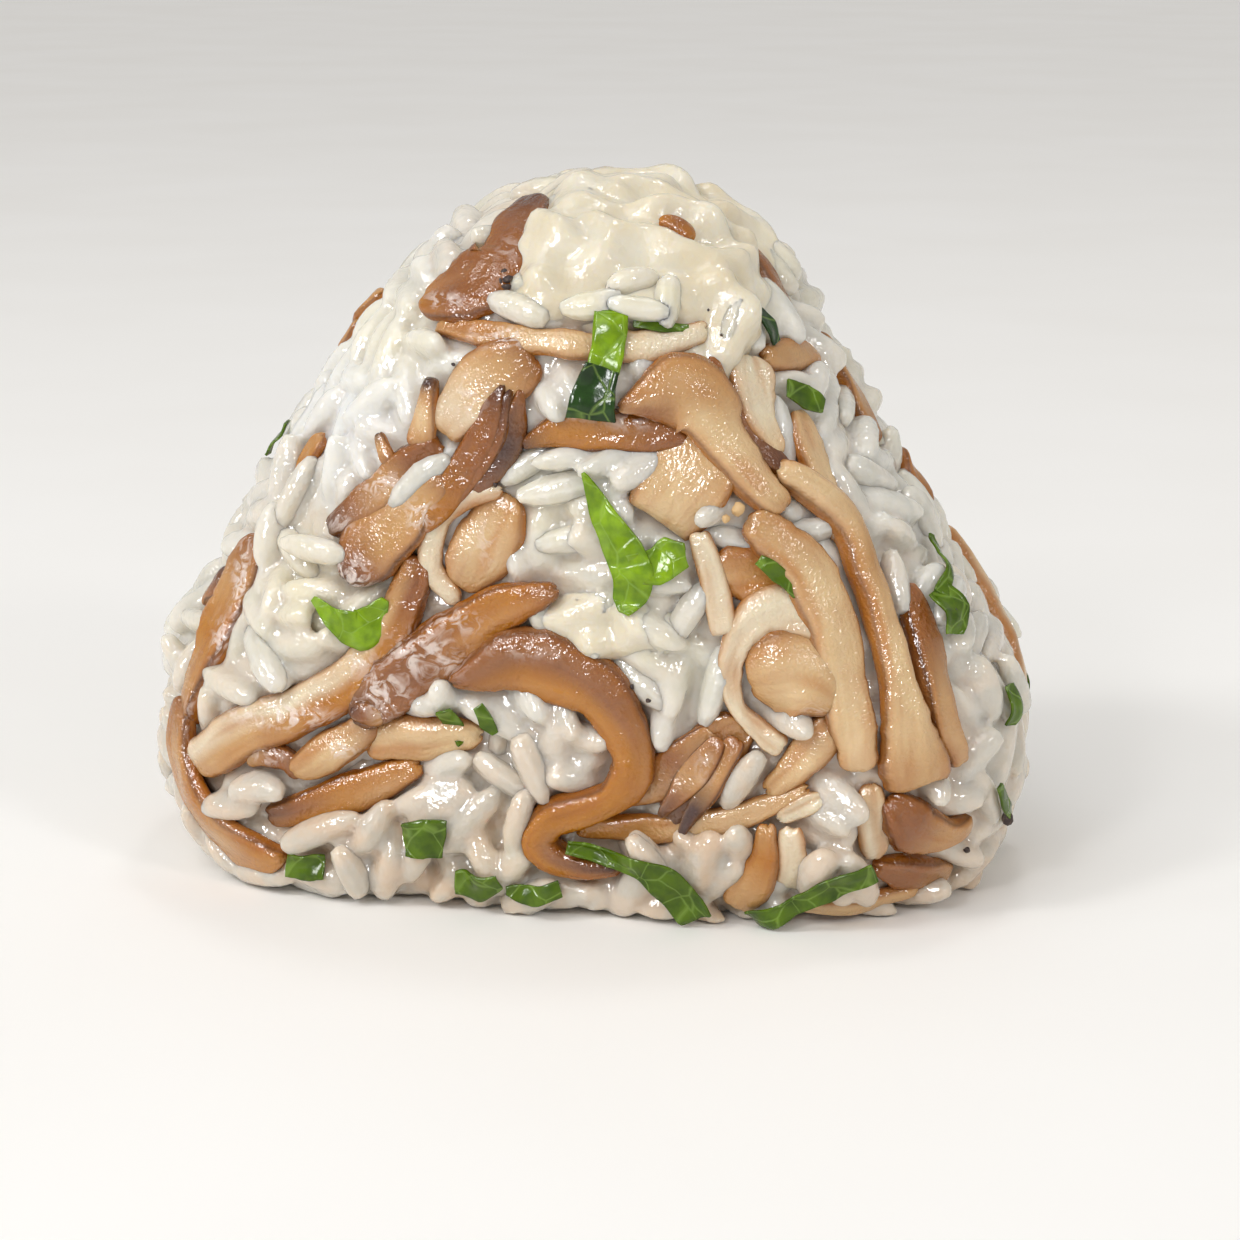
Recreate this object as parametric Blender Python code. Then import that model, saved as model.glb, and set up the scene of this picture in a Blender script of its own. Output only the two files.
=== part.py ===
"""A triangular rice ball with strips of mushroom pressed into it.

The rice is one solid with an uneven, grain-like surface and a flat base.
Every strip, cap and slice of mushroom is its own solid, and lies in a pocket
that is cut to its shape in the rice, or in the mushroom below it.

Frame: +Z up, the front face looks towards -Y, and the origin is in the middle
of the base.  The tables below are in millimetres.
"""

import math

import bmesh
import bpy
from mathutils import Matrix, Vector, noise

MM = 0.001

# ---------------------------------------------------------------- body sizes
CORNER_LEFT = Vector((-17.3, 13.4))
CORNER_RIGHT = Vector((18.1, 13.4))
CORNER_TOP = Vector((0.6, 41.0))
CORNER_CREST = Vector((-3.4, 36.6))
CORNER_RADIUS = 22.0
DEPTH = 42.0
CROWN = 1.2
SHOULDER = 17.0
SHOULDER_POWER = 2.3
BODY_CENTRE = Vector((0.0, 0.0, 26.0))
BODY_BOX = Vector((80.0, 42.0, 63.0))

RICE_CUTS = 14
RICE_SINK = 0.5
GRAIN_LUMP = 1.7
GRAIN_SPACING = 5.0
WELD = 0.01
FLAT_ENOUGH = math.radians(6.0)

# --------------------------------------------------------------- strip sizes
STRIP_SIDES = 6
ROW_STEP = 5.5
ROW_TURN = math.radians(32.0)
FEWEST_ROWS = 3
SECTION_FULLNESS = 0.7
END_CROWDING = 0.55
GAP = 0.32
FLOOR_GAP = 0.3

FRONT = -1.0
BACK = 1.0

# Colours (linear RGB) and roughness
TONES = {
    "rice": ((0.72, 0.68, 0.60), 0.35),
    "brown": ((0.26, 0.13, 0.07), 0.30),
    "dark": ((0.14, 0.07, 0.06), 0.28),
    "orange": ((0.42, 0.19, 0.06), 0.28),
    "tan": ((0.55, 0.33, 0.16), 0.32),
    "cream": ((0.68, 0.51, 0.30), 0.36),
}

# Mushroom on the front and back faces, from the lowest layer to the topmost:
# name, tone, thickness, lift over the face, and stations (x, z, width).
FRONT_STRIPS = (
    ("upper_band", "tan", 1.9, 0.3, (
        (-10.5, 52.0, 1.6), (-5.0, 51.4, 2.2), (0.0, 51.1, 2.3),
        (4.5, 50.8, 2.4), (9.0, 51.0, 2.6), (13.2, 51.9, 1.8))),
    ("top_cap", "brown", 1.8, 0.5, (
        (-12.3, 53.6, 1.6), (-9.0, 55.0, 4.6), (-5.2, 57.0, 5.6),
        (-4.6, 59.8, 3.8), (-3.8, 62.2, 2.4))),
    ("fan_stem", "tan", 2.4, 0.3, (
        (-1.3, 50.0, 3.2), (-4.5, 48.0, 3.8), (-7.3, 45.6, 3.6), (-9.2, 42.8, 2.6))),
    ("finger", "dark", 1.9, 0.8, (
        (-10.4, 47.6, 1.2), (-10.7, 44.8, 2.0), (-11.4, 41.6, 2.6))),
    ("left_frond", "brown", 2.2, 0.4, (
        (-9.4, 42.0, 2.0), (-12.0, 40.2, 3.0), (-14.3, 38.0, 3.0),
        (-17.0, 35.9, 3.0), (-20.0, 33.8, 1.8))),
    ("left_sliver", "orange", 1.6, 0.2, (
        (-22.2, 41.3, 1.3), (-23.8, 38.7, 2.4), (-25.0, 35.3, 1.4))),
    ("fold_right", "dark", 2.0, 0.5, (
        (-2.5, 47.0, 1.4), (-2.9, 43.5, 2.6), (-4.8, 40.0, 2.4), (-6.8, 37.8, 1.4))),
    ("fold_left", "orange", 2.2, 0.8, (
        (-4.6, 47.0, 1.8), (-5.2, 43.8, 2.9), (-7.0, 40.3, 2.9),
        (-9.4, 36.8, 2.6), (-11.2, 34.8, 1.4))),
    ("paddle", "tan", 2.4, 0.9, (
        (-8.6, 39.4, 1.8), (-10.8, 37.2, 3.0), (-13.4, 34.8, 4.6),
        (-16.2, 32.0, 5.6), (-18.0, 29.8, 3.8))),
    ("pale_slice", "cream", 2.2, 0.1, (
        (-3.2, 37.5, 3.2), (-4.8, 34.5, 4.4), (-6.6, 31.5, 4.2), (-7.8, 29.4, 2.6))),
    ("pale_loop", "cream", 1.9, 0.5, (
        (-4.0, 38.2, 1.4), (-7.0, 37.3, 1.8), (-9.3, 35.6, 2.0),
        (-10.3, 33.0, 2.0), (-9.9, 30.4, 2.0), (-8.0, 28.2, 1.7))),
    ("edge_frond", "brown", 2.6, 0.4, (
        (-28.0, 31.8, 2.8), (-29.5, 28.5, 4.6), (-31.0, 25.0, 4.8),
        (-32.6, 21.3, 4.0), (-34.0, 17.5, 3.0), (-34.6, 14.5, 1.8))),
    ("corner_strip", "tan", 2.2, 0.3, (
        (-35.2, 17.6, 1.4), (-35.6, 14.0, 2.8), (-34.8, 10.3, 4.0),
        (-32.6, 7.0, 4.4), (-29.6, 4.7, 3.6), (-26.6, 4.0, 2.0), (-24.4, 4.6, 0.8))),
    ("big_sweep", "tan", 3.0, 0.5, (
        (-11.5, 32.0, 2.4), (-13.0, 27.5, 3.4), (-15.5, 23.5, 4.2), (-18.7, 20.2, 4.8),
        (-22.7, 17.6, 5.4), (-27.0, 15.7, 5.6), (-30.8, 13.8, 5.2), (-33.0, 12.4, 2.6))),
    ("curl", "brown", 1.8, 0.3, (
        (-27.8, 12.4, 1.2), (-25.9, 13.3, 2.0), (-23.9, 13.0, 2.0), (-22.8, 11.4, 1.4))),
    ("lower_left_strip", "brown", 2.2, 0.3, (
        (-26.0, 7.2, 1.4), (-22.5, 8.5, 2.4), (-18.5, 9.8, 2.8),
        (-15.0, 11.4, 2.6), (-11.6, 13.1, 1.4))),
    ("knuckle_stem", "cream", 2.8, 0.3, (
        (-16.5, 14.9, 2.8), (-13.0, 15.6, 3.8), (-9.5, 16.0, 3.4), (-5.9, 16.3, 1.8))),
    ("short_stem", "tan", 2.6, 0.8, (
        (-23.0, 12.0, 2.2), (-20.0, 14.0, 3.2), (-17.2, 15.8, 3.0), (-15.2, 17.0, 1.8))),
    ("diagonal_ribbon", "brown", 2.8, 1.0, (
        (-17.3, 17.4, 2.6), (-15.0, 19.4, 4.4), (-12.0, 21.9, 5.0), (-8.5, 25.0, 4.8),
        (-5.0, 27.3, 4.0), (-1.5, 29.0, 2.8), (0.8, 29.9, 1.4))),
    ("big_hook", "orange", 3.4, 1.2, (
        (-8.6, 21.2, 1.0), (-5.2, 22.6, 4.0), (-1.8, 23.4, 5.6), (2.0, 22.5, 5.8),
        (5.0, 20.3, 4.8), (7.1, 17.4, 3.9), (7.6, 14.2, 3.5), (6.2, 11.7, 3.2),
        (3.2, 10.2, 3.0), (0.3, 9.2, 2.9), (-0.8, 7.4, 2.9), (0.6, 5.6, 2.7),
        (3.5, 5.0, 2.2), (6.5, 5.2, 1.0))),
    ("golden_lens", "orange", 2.0, 0.2, (
        (-2.2, 42.2, 0.8), (1.0, 43.7, 2.0), (5.0, 44.0, 2.4),
        (9.0, 43.5, 2.0), (12.2, 42.8, 0.8))),
    ("pale_tile", "cream", 2.0, 0.0, (
        (13.4, 41.4, 3.4), (12.0, 40.0, 5.0), (10.4, 38.0, 5.4), (9.2, 36.3, 3.6))),
    ("yellow_petal", "cream", 1.6, 0.4, (
        (16.8, 49.6, 3.0), (17.1, 47.6, 4.2), (17.8, 45.3, 3.6),
        (18.9, 43.0, 2.2), (19.7, 41.4, 1.0))),
    ("pale_web", "cream", 1.7, 0.2, (
        (20.9, 44.8, 1.2), (22.0, 42.2, 3.2), (23.0, 39.6, 3.0),
        (23.9, 36.8, 2.2), (25.0, 34.2, 1.0))),
    ("frond_edge", "dark", 1.8, 0.4, (
        (13.9, 49.8, 0.9), (14.7, 47.0, 1.7), (16.3, 44.3, 2.1),
        (18.5, 41.8, 2.3), (20.6, 39.8, 1.4))),
    ("main_frond", "tan", 2.5, 1.1, (
        (6.9, 46.1, 0.8), (8.8, 46.5, 3.6), (11.2, 46.8, 6.4), (13.2, 45.6, 5.6),
        (14.9, 43.0, 4.4), (16.8, 40.4, 4.0), (18.7, 38.3, 3.4), (20.2, 36.8, 1.8))),
    ("amber_tile", "orange", 2.0, 0.0, (
        (14.0, 31.0, 2.2), (16.2, 31.6, 4.4), (18.6, 31.5, 4.6), (20.8, 30.6, 3.0))),
    ("cap_shadow", "dark", 2.6, 0.0, (
        (28.8, 5.4, 1.8), (30.8, 4.6, 4.0), (33.0, 3.7, 4.2), (35.2, 3.0, 2.2))),
    ("corner_slice", "cream", 2.0, 0.0, (
        (28.3, 13.2, 1.8), (28.5, 10.6, 2.6), (28.8, 8.0, 2.6), (28.6, 5.9, 1.6))),
    ("cap_fold", "brown", 3.0, 0.4, (
        (30.2, 12.6, 2.6), (31.4, 10.4, 4.8), (33.2, 8.8, 5.2), (35.2, 8.0, 3.2),
        (36.8, 8.6, 1.6))),
    ("stem_a", "cream", 3.2, 0.8, (
        (17.2, 36.2, 2.4), (19.6, 34.4, 4.0), (22.6, 31.2, 4.7), (24.6, 26.5, 4.4),
        (25.8, 22.0, 3.9), (26.7, 18.0, 3.5), (27.1, 14.6, 2.8))),
    ("slim_cap", "brown", 2.6, 0.6, (
        (30.2, 29.6, 1.4), (31.7, 26.4, 2.8), (33.0, 22.5, 3.0),
        (34.2, 18.2, 2.6), (35.6, 14.0, 1.6))),
    ("stem_b", "cream", 3.2, 0.9, (
        (19.4, 40.2, 1.6), (22.2, 38.4, 2.8), (24.9, 35.4, 2.8), (27.0, 31.0, 2.7),
        (28.7, 26.4, 2.8), (30.2, 21.5, 3.2), (31.3, 17.4, 4.6), (32.2, 13.6, 6.4))),
    ("dark_fan", "dark", 2.2, 0.1, (
        (17.2, 18.4, 3.2), (15.0, 16.3, 4.8), (13.0, 13.7, 5.4),
        (11.7, 11.2, 4.2), (11.0, 8.9, 2.0))),
    ("lower_band", "tan", 1.8, 0.4, (
        (2.4, 8.5, 1.2), (8.2, 8.4, 1.9), (12.6, 8.9, 1.9),
        (18.5, 10.6, 1.8), (22.8, 12.9, 1.1))),
    ("lower_strip", "tan", 1.9, 0.3, (
        (19.4, 9.0, 1.4), (19.3, 6.8, 2.1), (18.2, 4.4, 2.8), (16.6, 2.6, 2.2))),
    ("side_slice", "cream", 1.6, 0.0, (
        (21.9, 9.6, 1.6), (21.8, 6.8, 2.2), (21.6, 4.0, 1.6))),
    ("pink_stem", "tan", 2.6, 0.2, (
        (25.0, 19.0, 2.8), (23.4, 16.8, 3.4), (21.5, 14.4, 2.6), (19.2, 12.4, 1.4))),
    ("ring", "cream", 2.4, 0.6, (
        (24.6, 26.4, 2.4), (22.0, 28.3, 3.8), (18.8, 28.2, 3.8), (16.7, 26.0, 2.8),
        (15.9, 22.9, 1.9), (16.5, 20.1, 1.6), (18.5, 18.0, 1.7), (20.6, 16.4, 2.0))),
    ("knob", "tan", 3.4, 0.9, (
        (18.3, 22.7, 3.4), (20.0, 23.4, 5.2), (22.3, 23.0, 5.6),
        (24.3, 21.4, 4.8), (25.2, 19.2, 3.0))),
)

BACK_STRIPS = (
    ("back_band", "tan", 2.0, 0.3, (
        (-11.5, 50.2, 1.6), (-5.0, 52.4, 2.4), (2.0, 52.2, 2.6), (9.0, 49.4, 1.8))),
    ("back_slice", "cream", 2.2, 0.1, (
        (-15.6, 31.6, 2.8), (-13.2, 34.4, 4.6), (-10.6, 36.8, 4.6), (-8.6, 39.4, 2.6))),
    ("back_stem", "cream", 2.8, 0.4, (
        (19.5, 41.0, 2.0), (16.4, 36.8, 3.0), (14.8, 31.4, 3.2), (12.6, 26.2, 3.0),
        (8.8, 22.0, 2.6), (4.0, 19.8, 1.6))),
    ("back_cap", "brown", 2.4, 0.8, (
        (21.8, 24.2, 2.0), (24.8, 21.0, 5.0), (26.8, 16.8, 5.8), (29.6, 12.8, 3.4))),
    ("back_sweep", "tan", 3.0, 0.6, (
        (-31.4, 12.0, 2.6), (-25.6, 13.6, 4.8), (-19.2, 16.6, 5.0), (-13.8, 21.4, 4.4),
        (-9.6, 27.0, 3.6), (-3.2, 30.6, 3.0), (3.6, 31.2, 1.6))),
    ("back_frond", "dark", 2.2, 0.5, (
        (0.8, 47.0, 1.8), (4.6, 43.6, 3.2), (7.2, 39.0, 3.4), (7.6, 34.4, 2.0))),
    ("back_hook", "orange", 3.0, 1.0, (
        (-14.0, 6.4, 1.2), (-8.6, 7.2, 3.6), (-3.0, 9.8, 4.6), (1.6, 13.2, 3.6),
        (6.6, 14.6, 3.2), (11.6, 12.4, 3.0), (14.6, 8.6, 2.6), (18.8, 5.8, 1.6))),
    ("back_curl", "tan", 2.4, 0.5, (
        (-26.4, 30.6, 1.6), (-23.0, 26.8, 3.2), (-24.4, 22.6, 3.0), (-28.8, 20.6, 1.8))),
)

# Mushroom that wraps the sides: stations (x, y, z, width), set on the surface
SIDE_STRIPS = (
    ("ridge_strip", "brown", 1.9, 0.2, (
        (13.2, -2.0, 57.9, 1.2), (15.8, -3.0, 55.3, 2.3),
        (17.9, -4.5, 52.6, 2.5), (19.4, -6.0, 50.2, 1.2))),
    ("ridge_block", "tan", 2.0, 0.3, (
        (17.0, -12.0, 48.6, 2.0), (19.4, -9.0, 48.8, 2.8), (21.6, -5.0, 48.6, 1.8))),
    ("ridge_low", "brown", 1.9, 0.2, (
        (21.4, 2.0, 49.4, 1.2), (23.6, 0.5, 46.0, 2.2),
        (25.6, -1.0, 42.8, 2.6), (27.0, -2.0, 40.4, 1.4))),
    ("ridge_cap", "orange", 1.9, 0.6, (
        (28.2, 3.0, 38.8, 1.6), (30.0, 2.0, 36.8, 2.8), (31.6, 1.5, 34.0, 1.8))),
    ("right_side_strip", "tan", 2.4, 0.4, (
        (32.6, 9.0, 31.0, 1.8), (36.6, 6.0, 24.4, 3.4), (39.4, 3.0, 17.6, 4.0),
        (39.0, 4.0, 10.6, 3.0), (36.0, 8.0, 5.6, 1.6))),
    ("left_side_strip", "orange", 2.2, 0.3, (
        (-24.2, 7.0, 44.0, 1.6), (-28.4, 4.0, 37.4, 3.0), (-32.6, 3.0, 30.6, 3.4),
        (-36.8, 5.0, 23.4, 2.8), (-38.6, 9.0, 17.0, 1.6))),
    ("left_base_strip", "tan", 2.2, 0.2, (
        (-39.0, -1.0, 10.8, 1.8), (-36.6, 4.0, 6.0, 3.4), (-31.0, 11.0, 4.4, 2.2))),
    ("crest_strip", "cream", 2.0, 0.3, (
        (-10.6, 9.0, 56.4, 1.6), (-3.6, 7.6, 60.6, 2.6), (4.4, 8.6, 60.2, 2.6),
        (10.4, 12.0, 54.0, 1.6))),
)


# ------------------------------------------------------------- body geometry
CORNERS = (CORNER_LEFT, CORNER_RIGHT, CORNER_TOP, CORNER_CREST)
EDGES = tuple(zip(CORNERS, CORNERS[1:] + CORNERS[:1]))


def foot_on_edge(point, start, end):
    """The point of a straight segment that lies nearest, in the plane."""
    run = end - start
    share = max(0.0, min(1.0, (point - start).dot(run) / run.length_squared))
    return start + run * share


def nearest_in_corners(point):
    """The point of the outline through the corner centres that lies nearest."""
    if min((end - start).cross(point - start) for start, end in EDGES) >= 0.0:
        return point.copy()
    feet = [foot_on_edge(point, start, end) for start, end in EDGES]
    return min(feet, key=lambda foot: (foot - point).length)


def inset(x, z):
    """How far a point lies inside the rounded triangular outline."""
    point = Vector((x, z))
    outside = (point - nearest_in_corners(point)).length
    if outside > 0.0:
        return CORNER_RADIUS - outside
    feet = [foot_on_edge(point, start, end) for start, end in EDGES]
    return CORNER_RADIUS + min((foot - point).length for foot in feet)


def level(point):
    """Below zero inside the body, zero on its surface, above zero outside."""
    depth_in = inset(point.x, point.z)
    reach = max(0.0, 1.0 - depth_in / SHOULDER)
    swell = 1.0 - max(0.0, 1.0 - max(0.0, depth_in) / (CORNER_RADIUS + 8.0)) ** 2
    half_depth = DEPTH / 2 - CROWN + CROWN * swell
    across = abs(point.y) / half_depth
    return (reach ** SHOULDER_POWER + across ** SHOULDER_POWER) ** (1 / SHOULDER_POWER) - 1.0


def cast(start, direction, reach=70.0):
    """Where a ray from inside the body leaves its surface."""
    near, far = 0.0, reach
    for _ in range(26):
        middle = (near + far) / 2
        if level(start + direction * middle) < 0.0:
            near = middle
        else:
            far = middle
    return start + direction * near


def outward(point):
    """Unit normal of the body's surface."""
    step = 0.05
    slope = Vector([
        level(point + axis * step) - level(point - axis * step)
        for axis in (Vector((1, 0, 0)), Vector((0, 1, 0)), Vector((0, 0, 1)))
    ])
    return slope.normalized()


def on_face(x, z, side):
    """The point of the front or back face at x, z."""
    start = Vector((x, 0.0, z))
    if inset(x, z) < 0.5:
        foot = nearest_in_corners(Vector((x, z)))
        run = (Vector((x, z)) - foot).normalized() * (CORNER_RADIUS - 0.5)
        start = Vector((foot.x + run.x, 0.0, foot.y + run.y))
    return cast(start, Vector((0.0, side, 0.0)))


def on_side(x, y, z):
    """The surface point straight out from the core through x, y, z."""
    foot = nearest_in_corners(Vector((x, z)))
    start = Vector((foot.x, 0.0, foot.y))
    return cast(start, (Vector((x, y, z)) - start).normalized())


# ------------------------------------------------------------- strip geometry
def curve_through(stations, share):
    """Catmull-Rom value of a list of vectors at a share of its length."""
    last = len(stations) - 1
    place = min(share * last, last - 1e-6)
    first = int(place)
    t = place - first
    before = stations[max(first - 1, 0)]
    start = stations[first]
    end = stations[first + 1]
    after = stations[min(first + 2, last)]
    return 0.5 * (
        start * 2.0
        + (end - before) * t
        + (before * 2.0 - start * 5.0 + end * 4.0 - after) * t * t
        + (start * 3.0 - before - end * 3.0 + after) * t ** 3
    )


def fuller(value):
    """A sine or cosine bent outwards, for a section fuller than an ellipse."""
    return math.copysign(abs(value) ** SECTION_FULLNESS, value)


class Strip:
    """One mushroom piece: a tapering band with a lens-like section."""

    def __init__(self, name, tone, thickness, lift, places, widths):
        self.name = name
        self.tone = tone
        self.thickness = thickness
        self.lift = lift
        self.places = places
        self.widths = [Vector((width, 0.0, 0.0)) for width in widths]
        fine = [curve_through(places, k / 60) for k in range(61)]
        steps = [b - a for a, b in zip(fine, fine[1:])]
        self.length = sum(step.length for step in steps)
        self.turning = sum(a.angle(b) for a, b in zip(steps, steps[1:]))

    def section(self, share):
        """Centre, side direction, normal and width at a share of the length."""
        centre = curve_through(self.places, share)
        ahead = curve_through(self.places, min(1.0, share + 0.01))
        behind = curve_through(self.places, max(0.0, share - 0.01))
        along = (ahead - behind).normalized()
        normal = outward(centre)
        across = normal.cross(along).normalized()
        normal = along.cross(across).normalized()
        width = curve_through(self.widths, share).x
        return centre + normal * self.lift, across, normal, along, width

    def mesh(self, grow=0.0):
        """The closed band, or the same band grown on all sides."""
        wanted = max(self.length / ROW_STEP, self.turning / ROW_TURN)
        rows = max(FEWEST_ROWS, round(wanted)) + 2
        work = bmesh.new()
        bmesh.ops.create_grid(work, x_segments=rows, y_segments=STRIP_SIDES, size=0.5)
        sections = {}
        for vert in work.verts:
            row = round((vert.co.x + 0.5) * rows)
            angle = 2.0 * math.pi * (vert.co.y + 0.5)
            if row not in sections:
                even = row / rows
                share = even - END_CROWDING * math.sin(2 * math.pi * even) / (2 * math.pi)
                sections[row] = (share, self.section(share))
            share, (centre, across, normal, along, width) = sections[row]
            end = min(share, 1.0 - share) * self.length
            round_off = min(1.0, end / (0.55 * width + 0.2))
            full = math.sqrt(1.0 - (1.0 - round_off) ** 2)
            half_width = (width / 2 + grow) * full
            half_height = (self.thickness / 2 + grow) * full ** 0.6
            stretch = grow * (share - 0.5) * 2.0
            vert.co = (
                centre
                + along * stretch
                + across * half_width * fuller(math.cos(angle))
                + normal * half_height * fuller(math.sin(angle))
            )
        bmesh.ops.remove_doubles(work, verts=work.verts, dist=0.02)
        bmesh.ops.recalc_face_normals(work, faces=work.faces)
        floor_height = FLOOR_GAP - grow
        if min(vert.co.z for vert in work.verts) < floor_height:
            trim(work, floor_height)
        bmesh.ops.triangulate(work, faces=work.faces)
        mesh = bpy.data.meshes.new(self.name)
        work.to_mesh(mesh)
        work.free()
        return mesh


def trim(work, height):
    """Cut a closed bmesh flat at a height and close it there."""
    geometry = work.verts[:] + work.edges[:] + work.faces[:]
    cut = bmesh.ops.bisect_plane(
        work,
        geom=geometry,
        dist=1e-4,
        plane_co=(0.0, 0.0, height),
        plane_no=(0.0, 0.0, 1.0),
        clear_inner=True,
    )
    rim = [item for item in cut["geom_cut"] if isinstance(item, bmesh.types.BMEdge)]
    bmesh.ops.contextual_create(work, geom=rim)
    for vert in work.verts:
        if abs(vert.co.z - height) < 1e-3:
            vert.co.z = height


def all_strips():
    """Every mushroom piece, from the lowest layer to the topmost."""
    strips = []
    for table, side in ((BACK_STRIPS, BACK), (FRONT_STRIPS, FRONT)):
        for name, tone, thickness, lift, stations in table:
            places = [on_face(x, z, side) for x, z, width in stations]
            widths = [width for x, z, width in stations]
            strips.append(Strip(name, tone, thickness, lift, places, widths))
    for name, tone, thickness, lift, stations in SIDE_STRIPS:
        places = [on_side(x, y, z) for x, y, z, width in stations]
        widths = [width for x, y, z, width in stations]
        strips.append(Strip(name, tone, thickness, lift, places, widths))
    return strips


# -------------------------------------------------------------- rice geometry
def rice_mesh():
    """The rice: the body's surface with grain-sized lumps and a flat base."""
    work = bmesh.new()
    bmesh.ops.create_cube(work, size=1.0)
    bmesh.ops.subdivide_edges(work, edges=work.edges, cuts=RICE_CUTS, use_grid_fill=True)
    for vert in work.verts:
        heading = Vector([math.tan(value * 1.35) for value in vert.co])
        heading = Vector([a * b for a, b in zip(heading, BODY_BOX)]).normalized()
        place = cast(BODY_CENTRE, heading)
        lump = GRAIN_LUMP * noise.noise(place / GRAIN_SPACING)
        vert.co = place + outward(place) * (lump - RICE_SINK)
    bmesh.ops.recalc_face_normals(work, faces=work.faces)
    trim(work, 0.0)
    bmesh.ops.triangulate(work, faces=work.faces)
    mesh = bpy.data.meshes.new("rice_ball")
    work.to_mesh(mesh)
    work.free()
    return mesh


# -------------------------------------------------------------------- carving
def boxes_meet(first, second):
    """Whether the boxes of two meshes overlap."""
    for axis in range(3):
        first_values = [vert.co[axis] for vert in first.vertices]
        second_values = [vert.co[axis] for vert in second.vertices]
        if min(first_values) > max(second_values) or min(second_values) > max(first_values):
            return False
    return True


def shell_volume(faces):
    """Volume inside a closed set of triangles."""
    total = 0.0
    for face in faces:
        a, b, c = (vert.co for vert in face.verts)
        total += a.dot(b.cross(c)) / 6.0
    return total


def keep_largest_shell(mesh):
    """Delete the loose crumbs that a cut leaves beside the main body."""
    work = bmesh.new()
    work.from_mesh(mesh)
    bmesh.ops.remove_doubles(work, verts=work.verts, dist=WELD)
    bmesh.ops.dissolve_degenerate(work, edges=work.edges, dist=WELD)
    bmesh.ops.dissolve_limit(
        work, angle_limit=FLAT_ENOUGH, verts=work.verts, edges=work.edges
    )
    bmesh.ops.triangulate(work, faces=work.faces)
    waiting = set(work.faces)
    shells = []
    while waiting:
        stack = [waiting.pop()]
        shell = list(stack)
        while stack:
            for edge in stack.pop().edges:
                for face in edge.link_faces:
                    if face in waiting:
                        waiting.remove(face)
                        stack.append(face)
                        shell.append(face)
        shells.append(shell)
    shells.sort(key=shell_volume)
    crumbs = [face for shell in shells[:-1] for face in shell]
    bmesh.ops.delete(work, geom=crumbs, context="FACES")
    loose = [vert for vert in work.verts if not vert.link_faces]
    bmesh.ops.delete(work, geom=loose, context="VERTS")
    work.to_mesh(mesh)
    work.free()


def carve(body, cutter_meshes):
    """Cut pockets into an object, and keep what stays in one piece."""
    cutters = []
    for mesh in cutter_meshes:
        if not boxes_meet(body.data, mesh):
            continue
        cutter = bpy.data.objects.new("cutter", mesh)
        cutter.hide_render = True
        cutter.display_type = "WIRE"
        bpy.context.scene.collection.objects.link(cutter)
        cutters.append(cutter)
        pocket = body.modifiers.new("Pocket", "BOOLEAN")
        pocket.operation = "DIFFERENCE"
        pocket.solver = "EXACT"
        pocket.object = cutter
    if cutters:
        depsgraph = bpy.context.evaluated_depsgraph_get()
        carved = bpy.data.meshes.new_from_object(body.evaluated_get(depsgraph))
        body.modifiers.clear()
        body.data = carved
    for cutter in cutters:
        bpy.data.objects.remove(cutter)
    keep_largest_shell(body.data)


# ------------------------------------------------------------------- assembly
def material(tone):
    """A Principled material in one of the named tones."""
    found = bpy.data.materials.get(tone)
    if found:
        return found
    colour, roughness = TONES[tone]
    made = bpy.data.materials.new(tone)
    made.use_nodes = True
    shader = made.node_tree.nodes["Principled BSDF"]
    shader.inputs["Base Color"].default_value = (*colour, 1.0)
    shader.inputs["Roughness"].default_value = roughness
    shader.inputs["Metallic"].default_value = 0.0
    made.diffuse_color = (*colour, 1.0)
    return made


def finish(body, tone):
    """Scale an object from millimetres to metres, and dress it."""
    body.data.transform(Matrix.Scale(MM, 4))
    body.data.materials.clear()
    body.data.materials.append(material(tone))
    body.data.shade_smooth()
    body.data.set_sharp_from_angle(angle=math.radians(50.0))


def main():
    """Build the rice ball and every mushroom piece."""
    for old in list(bpy.data.objects):
        bpy.data.objects.remove(old)
    collection = bpy.context.scene.collection
    strips = all_strips()
    cutters = [strip.mesh(GAP) for strip in strips]

    bodies = []
    for place, strip in enumerate(strips):
        body = bpy.data.objects.new(strip.name, strip.mesh())
        collection.objects.link(body)
        carve(body, cutters[place + 1:])
        bodies.append((body, strip.tone))

    rice = bpy.data.objects.new("rice_ball", rice_mesh())
    collection.objects.link(rice)
    carve(rice, cutters)
    bodies.append((rice, "rice"))

    for body, tone in bodies:
        finish(body, tone)
    for mesh in cutters:
        bpy.data.meshes.remove(mesh)


main()
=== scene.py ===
"""Dresses the rice ball: rice grains, mushroom, melted cheese, herb leaf and pepper."""

import math
from contextlib import contextmanager
from functools import lru_cache

import bmesh
import bpy
import numpy as np
from bpy.props import FloatProperty, FloatVectorProperty, IntProperty, PointerProperty
from mathutils import Matrix, Vector, noise
from mathutils.kdtree import KDTree


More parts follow.
